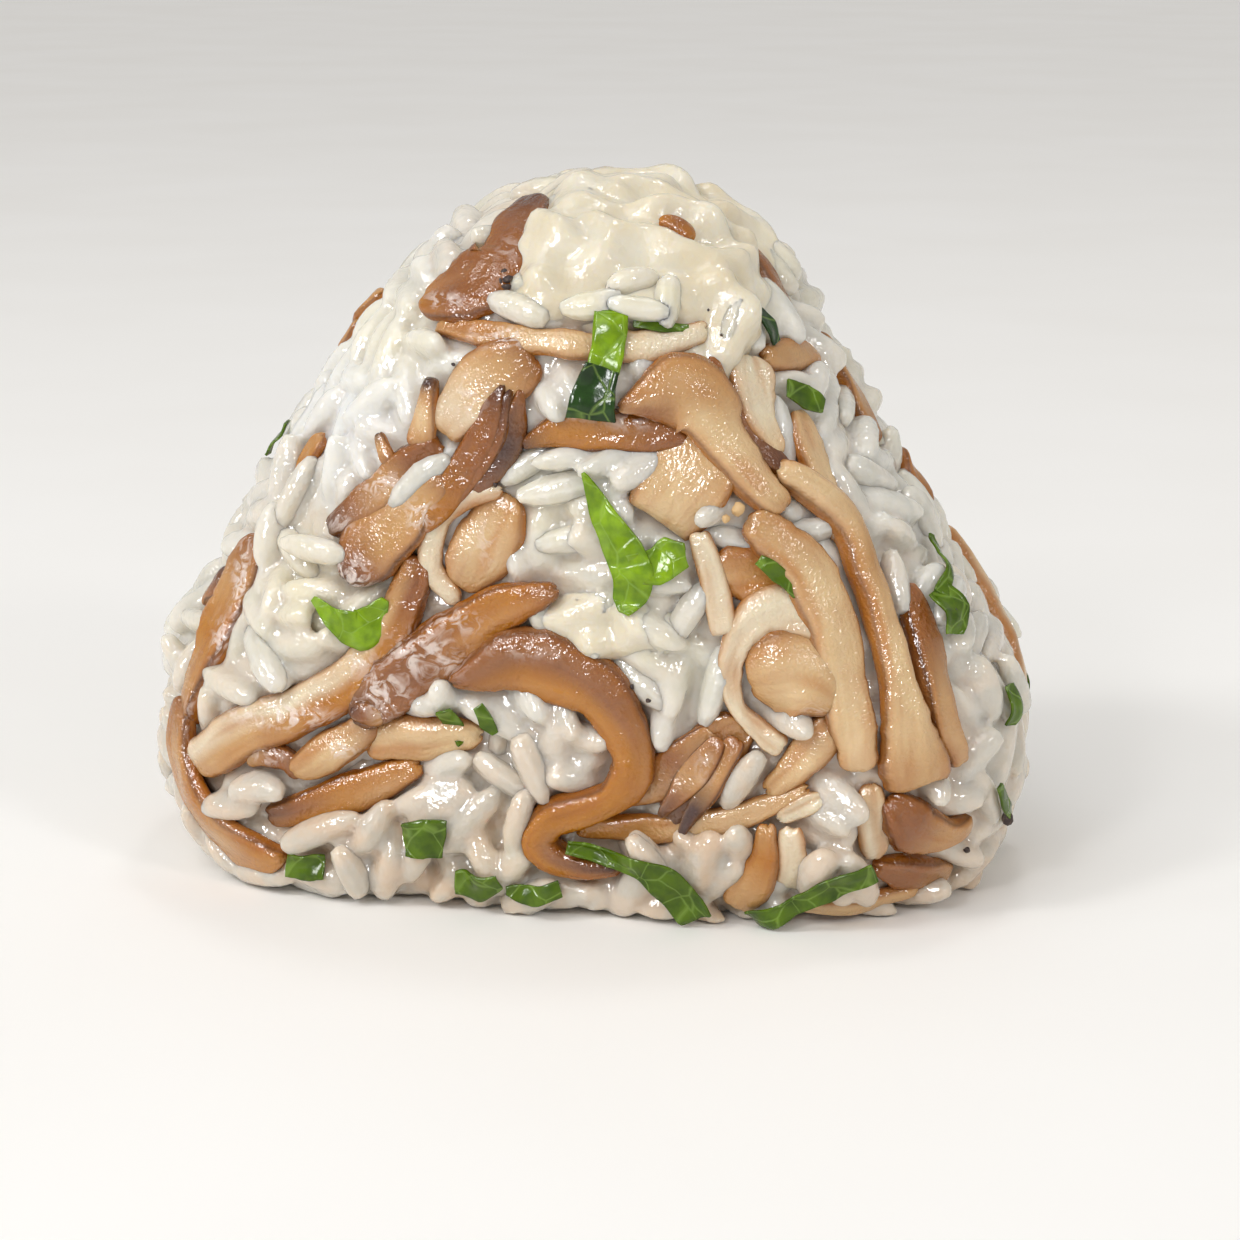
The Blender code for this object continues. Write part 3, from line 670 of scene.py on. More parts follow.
class Band:
    """One mushroom piece: a tapering ribbon laid along a route on the body.

    stations hold x, z and width, or x, y, z and width where it lies round a side.
    colours are letters of FLESH from its first station to its last, and flank gives
    those on its right as it runs, where they differ. rim darkens its thin edges.
    crisp squares it: 0 is a round stem and 1 a flat strap. cup lifts its edges over
    its middle, and roll turns it about its route. ragged tears its outline, and
    strands is the depth of its lengthwise ridges. ends are the shares of its width
    kept at its two ends, where 0 is a round end.
    """

    def __init__(self, name, tone, thickness, lift, stations, colours, rim, flank=None,
                 crisp=0.6, cup=-0.04, roll=0.0, ragged=0.12, strands=0.1, ends=(0.3, 0.3),
                 face=FRONT):
        self.name = name
        self.tone = tone
        self.thickness = thickness
        self.lift = lift
        self.colours = colours
        self.flank = flank or colours
        self.rim = rim
        self.crisp = crisp
        self.cup = cup
        self.roll = math.radians(roll)
        self.ragged = ragged
        self.strands = strands
        self.ends = ends
        table = np.array(stations, float)
        round_side = table.shape[1] == 4
        self.places = on_side(table[:, :3]) if round_side else on_face(table[:, :2], face)
        self.widths = table[:, -1:]
        self.length = travelled(curve_through(self.places, np.linspace(0.0, 1.0, LENGTH_STEPS)))
        self.seed = sum(ord(letter) * (k + 1) for k, letter in enumerate(name)) % 97

    def frame(self, share):
        """Centres, directions along and across, normals and widths at shares."""
        centre = curve_through(self.places, share)
        along = heading_of(self.places, share, 0.01)
        normal = outward(centre)
        across = unit(np.cross(normal, along))
        normal = unit(np.cross(along, across))
        turn = self.roll + BAND_TWIST * np.sin(share * 5.0 + self.seed)
        cosine, sine = np.cos(turn)[:, None], np.sin(turn)[:, None]
        across, tipped = across * cosine + normal * sine, normal * cosine - across * sine
        width = curve_through(self.widths, share)
        return centre + normal * (self.lift - BAND_SINK), along, across, tipped, width

    def fading(self, share, width, reach):
        """1 along the band, falling to 0 in a quarter circle at each end."""
        ends = (share[:, None], 1.0 - share[:, None])
        near = [np.clip(end * self.length / (reach * width + 0.1), 0.0, 1.0) for end in ends]
        return [np.sqrt(1.0 - (1.0 - part) ** 2) for part in near]

    def strand(self, share, side, width):
        """Lengthwise ridges and grooves of the flesh, from -1 to 1."""
        run = share * self.length
        across = side[:, 0] * width[:, 0] / 2
        broad = grain_noise(run * 0.13, across * 0.75, self.seed * 1.7)
        fine = grain_noise(run * 0.3, across * 2.1, self.seed * 2.3)
        return (broad * 1.5 + fine * 0.6)[:, None]

    def surface(self, share, angle):
        """Places on the band's skin at shares of its length and angles round it."""
        centre, along, across, normal, width = self.frame(share)
        side = bent(np.cos(angle), 0.8)[:, None]
        upper = np.sin(angle)[:, None] >= 0.0
        first, last = self.fading(share, width, 0.5)
        kept = (
            (self.ends[0] + (1 - self.ends[0]) * first)
            * (self.ends[1] + (1 - self.ends[1]) * last))
        closed = np.minimum(*self.fading(share, self.thickness / width, 0.8 * width))
        run = share * self.length
        flank = np.sign(side[:, 0]) * 3.0 + self.seed
        torn = grain_noise(run * 0.28, flank, 0.0) * 1.6
        torn += grain_noise(run * 1.1, flank + 5.0, 0.0) * 0.7
        outline = 1.0 + self.ragged * torn[:, None] * np.abs(side)
        half_width = width / 2 * BAND_WIDEN * kept * outline
        lens = np.clip(1.0 - np.abs(side) ** (2.3 + 5.0 * self.crisp), 0.0, 1.0) ** 0.5
        half_height = self.thickness * BAND_THIN / 2 * closed * lens
        bend = self.cup * width / 2 * (side ** 2 - 0.33)
        ripple = self.ragged * 1.6 * torn[:, None] * np.abs(side) ** 3
        ridge = self.strand(share, side, width) * self.strands * np.where(upper, 1.0, 0.4)
        lifted = half_height * np.where(upper, 1.0, -1.0) + (bend + ripple + ridge * lens) * closed
        near_end = np.abs(2.0 * share - 1.0) ** 8
        slide = grain_noise(side[:, 0] * 1.3, self.seed, self.seed) * near_end
        slide = slide * np.sign(share - 0.5) * self.ragged * 3.0
        return centre + across * half_width * side + normal * lifted + along * slide[:, None]

    def colour(self, share, angle):
        """Flesh colour with painted shade: warmer and darker below, toward the edges and in the
        grooves, with a dark line at the rims.
        """
        palette = bpy.context.scene.rice_ball_mushroom
        left, right = (
            values_along(share, [tuple(getattr(palette, FLESH[letter][0])) for letter in letters])
            for letters in (self.colours, self.flank))
        side = bent(np.cos(angle), 0.8)[:, None]
        over = np.clip(0.3 - side * 2.2, 0.0, 1.0)
        base = left * (1.0 - over) + right * over
        amber = np.array(tuple(palette.amber))
        dark = np.array(tuple(palette.dark))
        ridges = self.strand(share, side, curve_through(self.widths, share))
        # Painted shade: darker amber on the underside, toward the edges and in the grooves
        upper = np.clip(np.sin(angle), 0.0, 1.0)[:, None] ** 0.5
        deep = base * (0.35 + 0.65 * amber / amber.max()) * 0.8
        groove_shade = np.clip(-0.25 - ridges, 0.0, 0.8) * 0.8
        edge = np.abs(side) ** 4 * 0.6
        shade = np.clip(np.maximum(groove_shade, edge) + 0.75 * (1.0 - upper), 0.0, 1.0)
        flesh = base * (1.0 - shade) + (0.5 * amber + 0.5 * deep) * shade
        line = np.exp(-((np.abs(side) - 0.93) / 0.06) ** 2)
        line = line * (np.sin(angle)[:, None] > 0.0) * self.rim
        return flesh * (1.0 - line) + dark * line

    def blocks(self):
        """Balls that fill the band, to keep grains clear of it."""
        count = max(3, int(self.length / 1.1))
        share = np.repeat(np.linspace(0.03, 0.97, count), 3)
        side = np.tile([-0.34, 0.0, 0.34], count)[:, None]
        centre, _, across, _, width = self.frame(share)
        return centre + across * side * width / 2, np.full(len(share), self.thickness * 0.4)

    def mesh(self):
        """The closed, detailed band, in millimetres."""
        rows = max(16, int(self.length / BAND_ROW))
        mesh = shaped(
            self.name, bmesh.ops.create_grid, x_segments=rows, y_segments=BAND_SIDES, size=0.5)
        even, around, _ = vertices(mesh).T + 0.5
        even = np.clip(even, 0.0, 1.0)
        share = even - 0.7 * np.sin(2 * np.pi * even) / (2 * np.pi)
        angle = 2 * np.pi * around
        places = self.surface(share, angle)
        places += crumple(places, 3.6, 0.25, self.seed)
        set_vertices(mesh, places, floor=0.12)
        lay_flesh(mesh, share * self.length, around * 2.2 * self.widths.mean() + self.seed)
        paint_tint(mesh, self.colour(share, angle))
        skin = values_along(share, [FLESH[letter][1:] for letter in self.colours])[:, 0]
        # Film: where the skin wrinkles under a painted pale sheen
        film = np.clip(pooled(places, SHEEN_PATCHES) * 1.6 - 0.2, 0.0, 1.0) * (np.sin(angle) > 0.0)
        paint(mesh, skin=skin, film=film)
        weld(mesh, 0.004)
        return mesh


def pooled(places, pools):
    """How richly pools (x, z, half width, half height, richness) cover places in front."""
    rich = np.zeros(len(places))
    front = places[:, 1] < 0.0
    for x, z, wide, tall, most in pools:
        away = ((places[:, 0] - x) / wide) ** 2 + ((places[:, 2] - z) / tall) ** 2
        rich = np.maximum(rich, most * np.exp(-away) * front)
    return rich


# Where the skin wrinkles under a painted pale sheen: x, z, half width, half height, richness
SHEEN_PATCHES = (
    (-17.6, 30.2, 2.6, 2.0, 0.9), (-10.6, 23.6, 3.4, 2.2, 1.0), (-14.2, 20.4, 2.4, 2.4, 0.9),
    (-7.6, 26.8, 2.6, 1.2, 0.7), (-24.4, 17.4, 6.4, 1.2, 0.8), (-16.6, 22.6, 2.0, 2.0, 0.5),
    (-29.0, 28.0, 1.0, 4.4, 0.8), (-30.6, 22.4, 1.0, 2.6, 0.8), (-4.0, 51.3, 3.0, 0.9, 0.8),
    (-6.4, 46.4, 1.6, 2.2, 0.5), (-15.0, 38.4, 2.6, 1.2, 0.7), (-10.8, 36.0, 1.8, 1.4, 0.7),
    (-18.6, 34.6, 1.6, 1.0, 0.6), (-9.6, 53.9, 2.0, 0.7, 0.8), (-4.4, 58.0, 1.4, 1.6, 0.4),
    (-33.6, 15.4, 0.9, 3.0, 0.5), (-18.6, 14.6, 2.4, 0.8, 0.6), (-25.4, 13.4, 1.6, 0.8, 0.7),
    (7.2, 44.6, 2.0, 0.8, 0.7), (14.0, 14.6, 1.2, 1.8, 0.4), (-5.4, 33.6, 1.4, 2.6, 0.4),
    (23.4, 20.0, 1.8, 1.4, 0.4), (-2.0, 24.6, 5.0, 0.8, 0.35), (4.6, 45.0, 3.4, 0.6, 0.5),
)

# The mushroom pieces that stand for solids, by the names of their nodes
MUSHROOMS = (
    Band("upper_band", "tan", 1.9, 0.3, (
        (-10.5, 52, 1.6), (-5, 51.4, 2.2), (0, 51.1, 2.3), (4.5, 50.8, 2.4), (9, 51, 2.6),
        (13.2, 51.9, 1.8)), "ttccpp", 0.25, crisp=0.5),
    Band("top_cap", "brown", 1.8, 0.5, (
        (-12.3, 53.6, 3.4), (-9, 55, 6.2), (-5.2, 57, 6.4), (-4.6, 59.8, 4.4), (-3.8, 62.2, 3)),
        "abbbd", 0.6, cup=-0.12, ragged=0.12, crisp=0.9, ends=(0.1, 0.3)),
    Band("fan_stem", "tan", 2.4, 0.3, (
        (-1.3, 50, 4.4), (-4.5, 48, 5.6), (-7.3, 45.6, 4.8), (-9.2, 42.8, 3)),
        "btcpt", 0.35, strands=0.1, crisp=0.7, ragged=0.05),
    Band("finger", "dark", 1.9, 0.8, (
        (-10.4, 47.6, 1.2), (-10.7, 44.8, 2), (-11.4, 41.6, 2.6)),
        "ddtcctb", 0.5, crisp=0.1, strands=0.05, ragged=0.04),
    Band("left_frond", "brown", 2.2, 0.4, (
        (-9.4, 42, 2), (-12, 40.2, 3), (-14.3, 38, 3), (-17, 35.9, 3), (-20, 33.8, 1.8)),
        "bbtbd", 0.7, strands=0.12, crisp=0.8),
    Band("left_sliver", "amber", 1.6, 0.2, (
        (-22.2, 41.3, 1.3), (-23.8, 38.7, 2.4), (-25, 35.3, 1.4)), "tac", 0.3),
    Band("fold_right", "dark", 2, 0.5, (
        (-2.4, 47.2, 0.5), (-2.9, 43.9, 2.4), (-4.8, 40, 2.4), (-6.8, 37.8, 1.2)),
        "bdb", 0.8, roll=-15, ragged=0.04),
    Band("fold_left", "amber", 2.2, 0.8, (
        (-3.6, 47.4, 0.5), (-5, 44, 2.6), (-7, 40.3, 2.9), (-9.4, 36.8, 2.6), (-11.2, 34.8, 1.4)),
        "dbbab", 0.7, strands=0.1, ragged=0.04),
    Band("paddle", "tan", 2.4, 0.9, (
        (-8.6, 39.4, 1.8), (-10.8, 37.2, 3.2), (-13.2, 34.9, 4.8), (-16, 32.2, 5.6),
        (-17.8, 29.6, 2.8)), "btttbd", 0.75, cup=-0.12, ragged=0.08, crisp=0.9),
    Band("pale_slice", "cream", 2.2, 0.1, (
        (-3.2, 37.5, 3.4), (-4.8, 34.5, 5.2), (-6.6, 31.5, 4.8), (-7.8, 29.4, 3)),
        "tct", 0.3, cup=-0.1, crisp=0.7, ragged=0.06),
    Band("pale_loop", "cream", 1.9, 0.5, (
        (-4, 38.2, 1.4), (-7, 37.3, 1.8), (-9.3, 35.6, 2), (-10.3, 33, 2), (-9.9, 30.4, 2),
        (-8, 28.2, 1.7)), "ppp", 0.1, crisp=0.2, strands=0.05),
    Band("edge_frond", "brown", 2.6, 0.4, (
        (-28, 31.8, 2.8), (-29.5, 28.5, 4.6), (-31, 25, 4.8), (-32.6, 21.3, 4), (-34, 17.5, 3),
        (-34.6, 14.5, 1.8)), "btatb", 0.7, strands=0.15, ragged=0.2, crisp=0.8),
    Band("corner_strip", "tan", 2.2, 1.3, (
        (-34.6, 16.9, 1.8), (-34.8, 12.6, 3.4), (-33.9, 8.8, 5), (-31.9, 5.9, 5.8),
        (-29.2, 4.2, 5.4), (-26.6, 3.7, 3.8), (-24.2, 4, 1.2)),
        "btataa", 0.55, crisp=0.8, ragged=0.08),
    Band("big_sweep", "tan", 3, 0.5, (
        (-11.4, 32, 2.4), (-12.2, 29.2, 3), (-13.9, 25.3, 3.6), (-17.2, 20.9, 4),
        (-22.5, 17.6, 4.2), (-27.2, 15.7, 4.3), (-31.2, 12.9, 4.2), (-33.2, 11.2, 2.4)),
        "bbaattc", 0.45, strands=0.12, crisp=0.7, flank="btcpppp", ragged=0.08),
    Band("curl", "brown", 1.8, 0.3, (
        (-27.8, 12.4, 1.2), (-25.9, 13.3, 2), (-23.9, 13, 2), (-22.8, 11.4, 1.4)), "tbb", 0.6),
    Band("lower_left_strip", "brown", 2.2, 0.3, (
        (-26, 7.2, 1.6), (-22.5, 8.5, 3), (-18.5, 9.9, 3.6), (-15, 11.5, 3.2),
        (-11.6, 13.2, 1.6)), "dbaaa", 0.6, flank="daata"),
    Band("knuckle_stem", "cream", 2.8, 0.3, (
        (-16.5, 14.9, 2.8), (-13, 15.6, 3.8), (-9.5, 16, 3.4), (-5.9, 16.3, 1.8)),
        "tcc", 0.3, crisp=0.3),
    Band("short_stem", "tan", 2.6, 0.8, (
        (-23, 12, 2.2), (-20, 14, 3.2), (-17.2, 15.8, 3), (-15.2, 17, 1.8)),
        "tcb", 0.5, crisp=0.3),
    Band("diagonal_ribbon", "brown", 2.8, 1, (
        (-17.3, 17.4, 2.6), (-15, 19.4, 4.4), (-12, 21.9, 5), (-8.5, 25, 4.8), (-5, 27.3, 4),
        (-1.5, 29, 2.8), (0.8, 29.9, 1.4)),
        "dbbaab", 0.6, strands=0.15, ragged=0.16, crisp=0.8),
    Band("big_hook", "amber", 3.4, 1.2, (
        (-8.6, 21.2, 1), (-5.2, 22.6, 4), (-1.8, 23.4, 5.6), (2, 22.5, 5.8), (5, 20.3, 4.8),
        (7.1, 17.4, 3.9), (7.6, 14.2, 3.5), (6.2, 11.7, 3.2), (3.2, 10.2, 3), (0.3, 9.2, 2.9),
        (-0.8, 7.4, 2.9), (0.6, 5.6, 2.7), (3.5, 5, 2.2), (6.5, 5.2, 1)),
        "bbbaabd", 0.55, cup=-0.15, crisp=0.8, flank="baaaaab"),
    Band("golden_lens", "amber", 2, 0.2, (
        (-2.2, 42.2, 0.8), (1, 43.5, 2.8), (5, 43.8, 3.4), (9, 43.4, 2.8), (12.2, 42.8, 0.8)),
        "daabb", 0.8, crisp=0.3, ragged=0.04),
    Band("pale_tile", "cream", 2, 0.6, (
        (14.2, 42, 5.6), (12.6, 40, 6.8), (11, 38, 7), (9.6, 36, 6)),
        "tccc", 0.25, cup=-0.04, ragged=0.03, crisp=1, ends=(0.9, 0.9)),
    Band("yellow_petal", "cream", 1.6, 0.4, (
        (16.8, 49.6, 3), (17.1, 47.6, 4.2), (17.8, 45.3, 3.6), (18.9, 43, 2.2), (19.7, 41.4, 1)),
        "ppc", 0.2, ragged=0.16, crisp=0.9),
    Band("pale_web", "cream", 1.7, 0.2, (
        (20.9, 44.8, 1.2), (22, 42.2, 3.2), (23, 39.6, 3), (23.9, 36.8, 2.2), (25, 34.2, 1)),
        "ccp", 0.35, strands=0.15),
    Band("frond_edge", "dark", 1.8, 0.4, (
        (13.9, 49.8, 0.9), (14.7, 47, 1.7), (16.3, 44.3, 2.1), (18.5, 41.8, 2.3),
        (20.6, 39.8, 1.4)), "bbd", 0.6),
    Band("main_frond", "tan", 2.5, 1.1, (
        (6.2, 45.6, 0.8), (8.4, 46.3, 3.4), (11, 46.9, 6.6), (13.2, 45.8, 5.8), (14.9, 43, 4.2),
        (16.8, 40.4, 3.8), (18.7, 38.3, 3.2), (20.2, 36.8, 1.8)),
        "btttccct", 0.5, cup=-0.2, crisp=0.8, flank="tbtcccct"),
    Band("amber_tile", "amber", 2, 0, (
        (14, 31, 2.2), (16.2, 31.6, 4.4), (18.6, 31.5, 4.6), (20.8, 30.6, 3)), "ta", 0.4),
    Band("cap_shadow", "dark", 2.6, 0, (
        (28.8, 5, 1.4), (30.6, 4.3, 3), (32.8, 3.3, 3.2), (35, 2.4, 1.8)),
        "bbt", 0.6, ragged=0.2),
    Band("corner_slice", "cream", 2, 0, (
        (28.3, 13.2, 1.8), (28.5, 10.6, 2.6), (28.8, 8, 2.6), (28.6, 5.9, 1.6)), "cpp", 0.3),
    Band("cap_fold", "brown", 3, 0.4, (
        (29.8, 12, 2.4), (31.2, 9.9, 4.2), (32.8, 8.4, 4.4), (34.8, 7.6, 2.4), (36.6, 8.4, 1.4)),
        "bbtt", 0.6, ragged=0.2, strands=0.15, crisp=0.7),
    Band("stem_a", "cream", 3.2, 0.8, (
        (17.2, 36.2, 2.4), (19.6, 34.4, 4), (22.6, 31.2, 4.7), (24.6, 26.5, 4.4),
        (25.8, 22, 3.9), (26.7, 18, 3.5), (27.1, 14.6, 2.8)),
        "tccc", 0.5, strands=0.08, crisp=0.3),
    Band("slim_cap", "brown", 2.6, 0.6, (
        (30.2, 29.6, 1.4), (31.7, 26.4, 2.8), (33, 22.5, 3), (34.2, 18.2, 2.6), (35.6, 14, 1.6)),
        "bbtt", 0.7, strands=0.12),
    Band("stem_b", "cream", 3.2, 0.9, (
        (19.4, 40.2, 1.6), (22.2, 38.4, 2.8), (24.9, 35.4, 2.8), (27, 31, 2.7),
        (28.7, 26.4, 2.8), (30.2, 21.5, 3.2), (31.3, 17, 4.8), (32.2, 12.9, 7)),
        "cctcct", 0.45, crisp=0.3, ends=(0.3, 0.6)),
    Band("dark_fan", "dark", 2.2, 0.1, (
        (17.2, 18.4, 3.2), (15, 16.3, 4.8), (13, 13.7, 5.4), (11.7, 11.2, 4.2), (11, 8.9, 2)),
        "tbbd", 0.7, strands=0.22, ragged=0.16, crisp=0.8),
    Band("lower_band", "tan", 1.8, 0.4, (
        (2.4, 8.5, 1.6), (8.2, 8.4, 2.5), (12.6, 8.9, 2.4), (18.5, 10.6, 2), (22.8, 12.9, 1.1)),
        "atct", 0.3),
    Band("lower_strip", "tan", 1.9, 1.2, (
        (19.4, 9.8, 1.6), (19.2, 6.7, 2.4), (17.8, 3.9, 3.8), (16.2, 1.8, 2.4)), "tatt", 0.3),
    Band("side_slice", "cream", 1.6, 0.9, (
        (21.3, 9.5, 2), (21.5, 6.7, 2.4), (21.2, 3.6, 2.2)), "p", 0.15, ends=(0.7, 0.7)),
    Band("pink_stem", "tan", 2.6, 0.2, (
        (25, 19, 2.8), (23.4, 16.8, 3.4), (21.5, 14.4, 2.6), (19.2, 12.4, 1.4)),
        "tct", 0.35, strands=0.12, crisp=0.6),
    Band("ring", "cream", 2.4, 0.6, (
        (24.6, 26.4, 2.4), (22, 28.3, 3.8), (18.8, 28.2, 3.8), (16.7, 26, 2.8),
        (15.9, 22.9, 1.9), (16.5, 20.1, 1.6), (18.5, 18, 1.7), (20.6, 16.4, 2)),
        "pppp", 0.1, strands=0.2, crisp=0.6),
    Band("knob", "tan", 3.4, 0.9, (
        (17.6, 22.4, 4.6), (19.4, 22.9, 7), (21.6, 22.9, 7.6), (23.6, 22, 6.8), (25.2, 20.2, 4)),
        "tct", 0.4, cup=-0.3, crisp=0.2, ragged=0.06),
    Band("back_band", "tan", 2, 0.3, (
        (-11.5, 50.2, 1.6), (-5, 52.4, 2.4), (2, 52.2, 2.6), (9, 49.4, 1.8)),
        "tct", 0.3, face=BACK),
    Band("back_slice", "cream", 2.2, 0.1, (
        (-15.6, 31.6, 2.8), (-13.2, 34.4, 4.6), (-10.6, 36.8, 4.6), (-8.6, 39.4, 2.6)),
        "c", 0.25, face=BACK),
    Band("back_stem", "cream", 2.8, 0.4, (
        (19.5, 41, 2), (16.4, 36.8, 3), (14.8, 31.4, 3.2), (12.6, 26.2, 3), (8.8, 22, 2.6),
        (4, 19.8, 1.6)), "tcct", 0.45, face=BACK),
    Band("back_cap", "brown", 2.4, 0.8, (
        (21.8, 24.2, 2), (24.8, 21, 5), (26.8, 16.8, 5.8), (29.6, 12.8, 3.4)),
        "tbb", 0.7, cup=-0.25, ragged=0.2, face=BACK),
    Band("back_sweep", "tan", 3, 0.6, (
        (-31.4, 12, 2.6), (-25.6, 13.6, 4.8), (-19.2, 16.6, 5), (-13.8, 21.4, 4.4),
        (-9.6, 27, 3.6), (-3.2, 30.6, 3), (3.6, 31.2, 1.6)),
        "tctat", 0.5, strands=0.14, face=BACK),
    Band("back_frond", "dark", 2.2, 0.5, (
        (0.8, 47, 1.8), (4.6, 43.6, 3.2), (7.2, 39, 3.4), (7.6, 34.4, 2)),
        "bdb", 0.7, strands=0.16, ragged=0.16, face=BACK),
    Band("back_hook", "amber", 3, 1, (
        (-14, 6.4, 1.2), (-8.6, 7.2, 3.6), (-3, 9.8, 4.6), (1.6, 13.2, 3.6), (6.6, 14.6, 3.2),
        (11.6, 12.4, 3), (14.6, 8.6, 2.6), (18.8, 5.8, 1.6)), "bbaat", 0.55, face=BACK),
    Band("back_curl", "tan", 2.4, 0.5, (
        (-26.4, 30.6, 1.6), (-23, 26.8, 3.2), (-24.4, 22.6, 3), (-28.8, 20.6, 1.8)),
        "tct", 0.4, face=BACK),
    Band("ridge_strip", "brown", 1.9, 0.2, (
        (13.2, -2, 57.9, 1.2), (15.8, -3, 55.3, 2.3), (17.9, -4.5, 52.6, 2.5),
        (19.4, -6, 50.2, 1.2)), "b", 0.6),
    Band("ridge_block", "tan", 2, 0.3, (
        (17, -12, 48.6, 2), (19.4, -9, 48.8, 2.8), (21.6, -5, 48.6, 1.8)), "tt", 0.35),
    Band("ridge_low", "brown", 1.9, 0.2, (
        (21.4, 2, 49.4, 1.2), (23.6, 0.5, 46, 2.2), (25.6, -1, 42.8, 2.6), (27, -2, 40.4, 1.4)),
        "ttb", 0.6),
    Band("ridge_cap", "amber", 1.9, 0.6, (
        (28.2, 3, 38.8, 1.6), (30, 2, 36.8, 2.8), (31.6, 1.5, 34, 1.8)), "tab", 0.6),
    Band("right_side_strip", "tan", 2.4, 0.4, (
        (32.6, 9, 31, 1.8), (36.6, 6, 24.4, 3.4), (39.4, 3, 17.6, 4), (39, 4, 10.6, 3),
        (36, 8, 5.6, 1.6)), "cppc", 0.15),
    Band("left_side_strip", "amber", 2.2, 0.3, (
        (-24.2, 7, 44, 1.6), (-28.4, 4, 37.4, 3), (-32.6, 3, 30.6, 3.4), (-36.8, 5, 23.4, 2.8),
        (-38.6, 9, 17, 1.6)), "bata", 0.5),
    Band("left_base_strip", "tan", 2.2, 0.2, (
        (-39, -1, 10.8, 1.8), (-36.6, 4, 6, 3.4), (-31, 11, 4.4, 2.2)), "ta", 0.5),
    Band("crest_strip", "cream", 2, 0.3, (
        (-10.6, 9, 56.4, 1.6), (-3.6, 7.6, 60.6, 2.6), (4.4, 8.6, 60.2, 2.6),
        (10.4, 12, 54, 1.6)), "tcc", 0.3),
)

# Tips, folds and crumbs between them
SCRAPS = (
    Band("fan_tip_right", "dark", 1.4, 1.3, (
        (16.8, 17.4, 1.6), (14.8, 13.8, 2.2), (13.2, 10.9, 1.5), (11.8, 8.4, 0.6)),
        "btdd", 0.8, ragged=0.05, roll=14),
    Band("fan_tip_middle", "dark", 1.4, 1.2, (
        (15.4, 17.2, 1.6), (13, 14, 2.6), (11.4, 11.8, 1.8), (10, 10, 0.6)),
        "btbd", 0.8, ragged=0.05, roll=8),
    Band("fan_tip_left", "dark", 1.4, 0.6, (
        (14.6, 17.6, 2), (11.4, 14.4, 3.6), (8.8, 12.2, 3), (6.6, 10.8, 0.8)),
        "tbtb", 0.8, ragged=0.05),
    Band("nub", "brown", 1.6, 1.9, (
        (-17.2, 18.6, 1.6), (-16, 18, 2.4), (-14.4, 17.6, 1.4)), "dbt", 0.6, crisp=0.2),
    Band("finger_nub", "brown", 1.2, 1.3, (
        (-14.9, 42.6, 0.9), (-14.5, 41.4, 1.3), (-13.8, 40.2, 1.5)), "dtb", 0.6, crisp=0.1),
    Band("pale_sliver", "cream", 1.5, 0.8, (
        (13.2, 35.2, 1.6), (14.4, 31, 2.3), (15.4, 26.4, 2.2)),
        "p", 0.1, crisp=0.6, ragged=0.05, ends=(0.6, 0.8)),
    Band("fold_middle", "dark", 1.8, 0.9, (
        (-3, 47, 0.4), (-4, 43.4, 1.6), (-5.9, 40, 1.7), (-8, 37.2, 1)),
        "dbb", 0.7, roll=12, ragged=0.04),
    Band("left_hook", "brown", 1.8, 0.6, (
        (-31.8, 28.4, 1.2), (-32.4, 26.8, 2), (-33.6, 25.6, 2), (-34.4, 24.4, 1)), "dbt", 0.7),
    Band("left_bit_high", "tan", 1.2, 1, (
        (-23.2, -1, 49.6, 0.8), (-21, -2, 51.4, 2.4), (-18.8, -3, 52.8, 1.4)), "t", 0.4),
    Band("left_bit_low", "tan", 1.2, 1, (
        (-24.6, -1, 47.4, 0.8), (-23.2, -2, 49, 2), (-21.8, -3, 50.4, 1)), "t", 0.5),
    Band("cream_tile", "cream", 1.4, 0.5, (
        (20.2, 10, 1.4), (22.2, 11.2, 2), (24.4, 12, 1.4)), "p", 0.1, crisp=0.9),
    Band("bottom_lip", "cream", 1.6, 0.6, (
        (22, 1.6, 1), (27, 1.5, 1.6), (32, 2, 1)), "ct", 0.2, crisp=0.3),
    Band("cheese_bit", "amber", 1.4, 2.4, (
        (7.8, 59.4, 0.9), (9.2, 58.9, 1.6), (10.6, 57.9, 1.2)), "aba", 0.3),
)


def make_mushrooms():
    """Every mushroom piece in place of its plain solid, and the small scraps between."""
    for band in MUSHROOMS:
        made = new_object(f"mushroom_{band.name}", band.mesh())
        dress(made, mushroom_finish(), f"mushroom_{band.tone}", band.name)
    scraps = joined("mushroom_scraps", [band.mesh() for band in SCRAPS])
    dress(new_object("mushroom_scraps", scraps), mushroom_finish(), "mushroom_tan")


# --------------------------------------------------------------------- grains
# A grain settles as three balls strung along it; five stand for it under what lies on it
BALL = 1.38
REACH = 1.75
SETTLING_ROUNDS = 72
PAIRING_ROUNDS = 4
PAIR_REACH = 2 * BALL + 0.5
BLOCK_REACH = BALL + 2.2
MOST_OVERLAP = 1.1
TIP_REACH = 2.05
BALLS_A_GRAIN = 5
GRAIN_RINGS = 7
GRAIN_SIDES = 9
GRAIN_KINDS = 8
HALF_SPAN = (41.0, 22.0)
OUTER_DEPTH = 1.3
INNER_DEPTH = 3.3
LOOSE_SHARE = 0.16
LOOSE_LIFT = 0.15
LOOSE_SINK = 0.8
LOOSE_TILT = 0.35

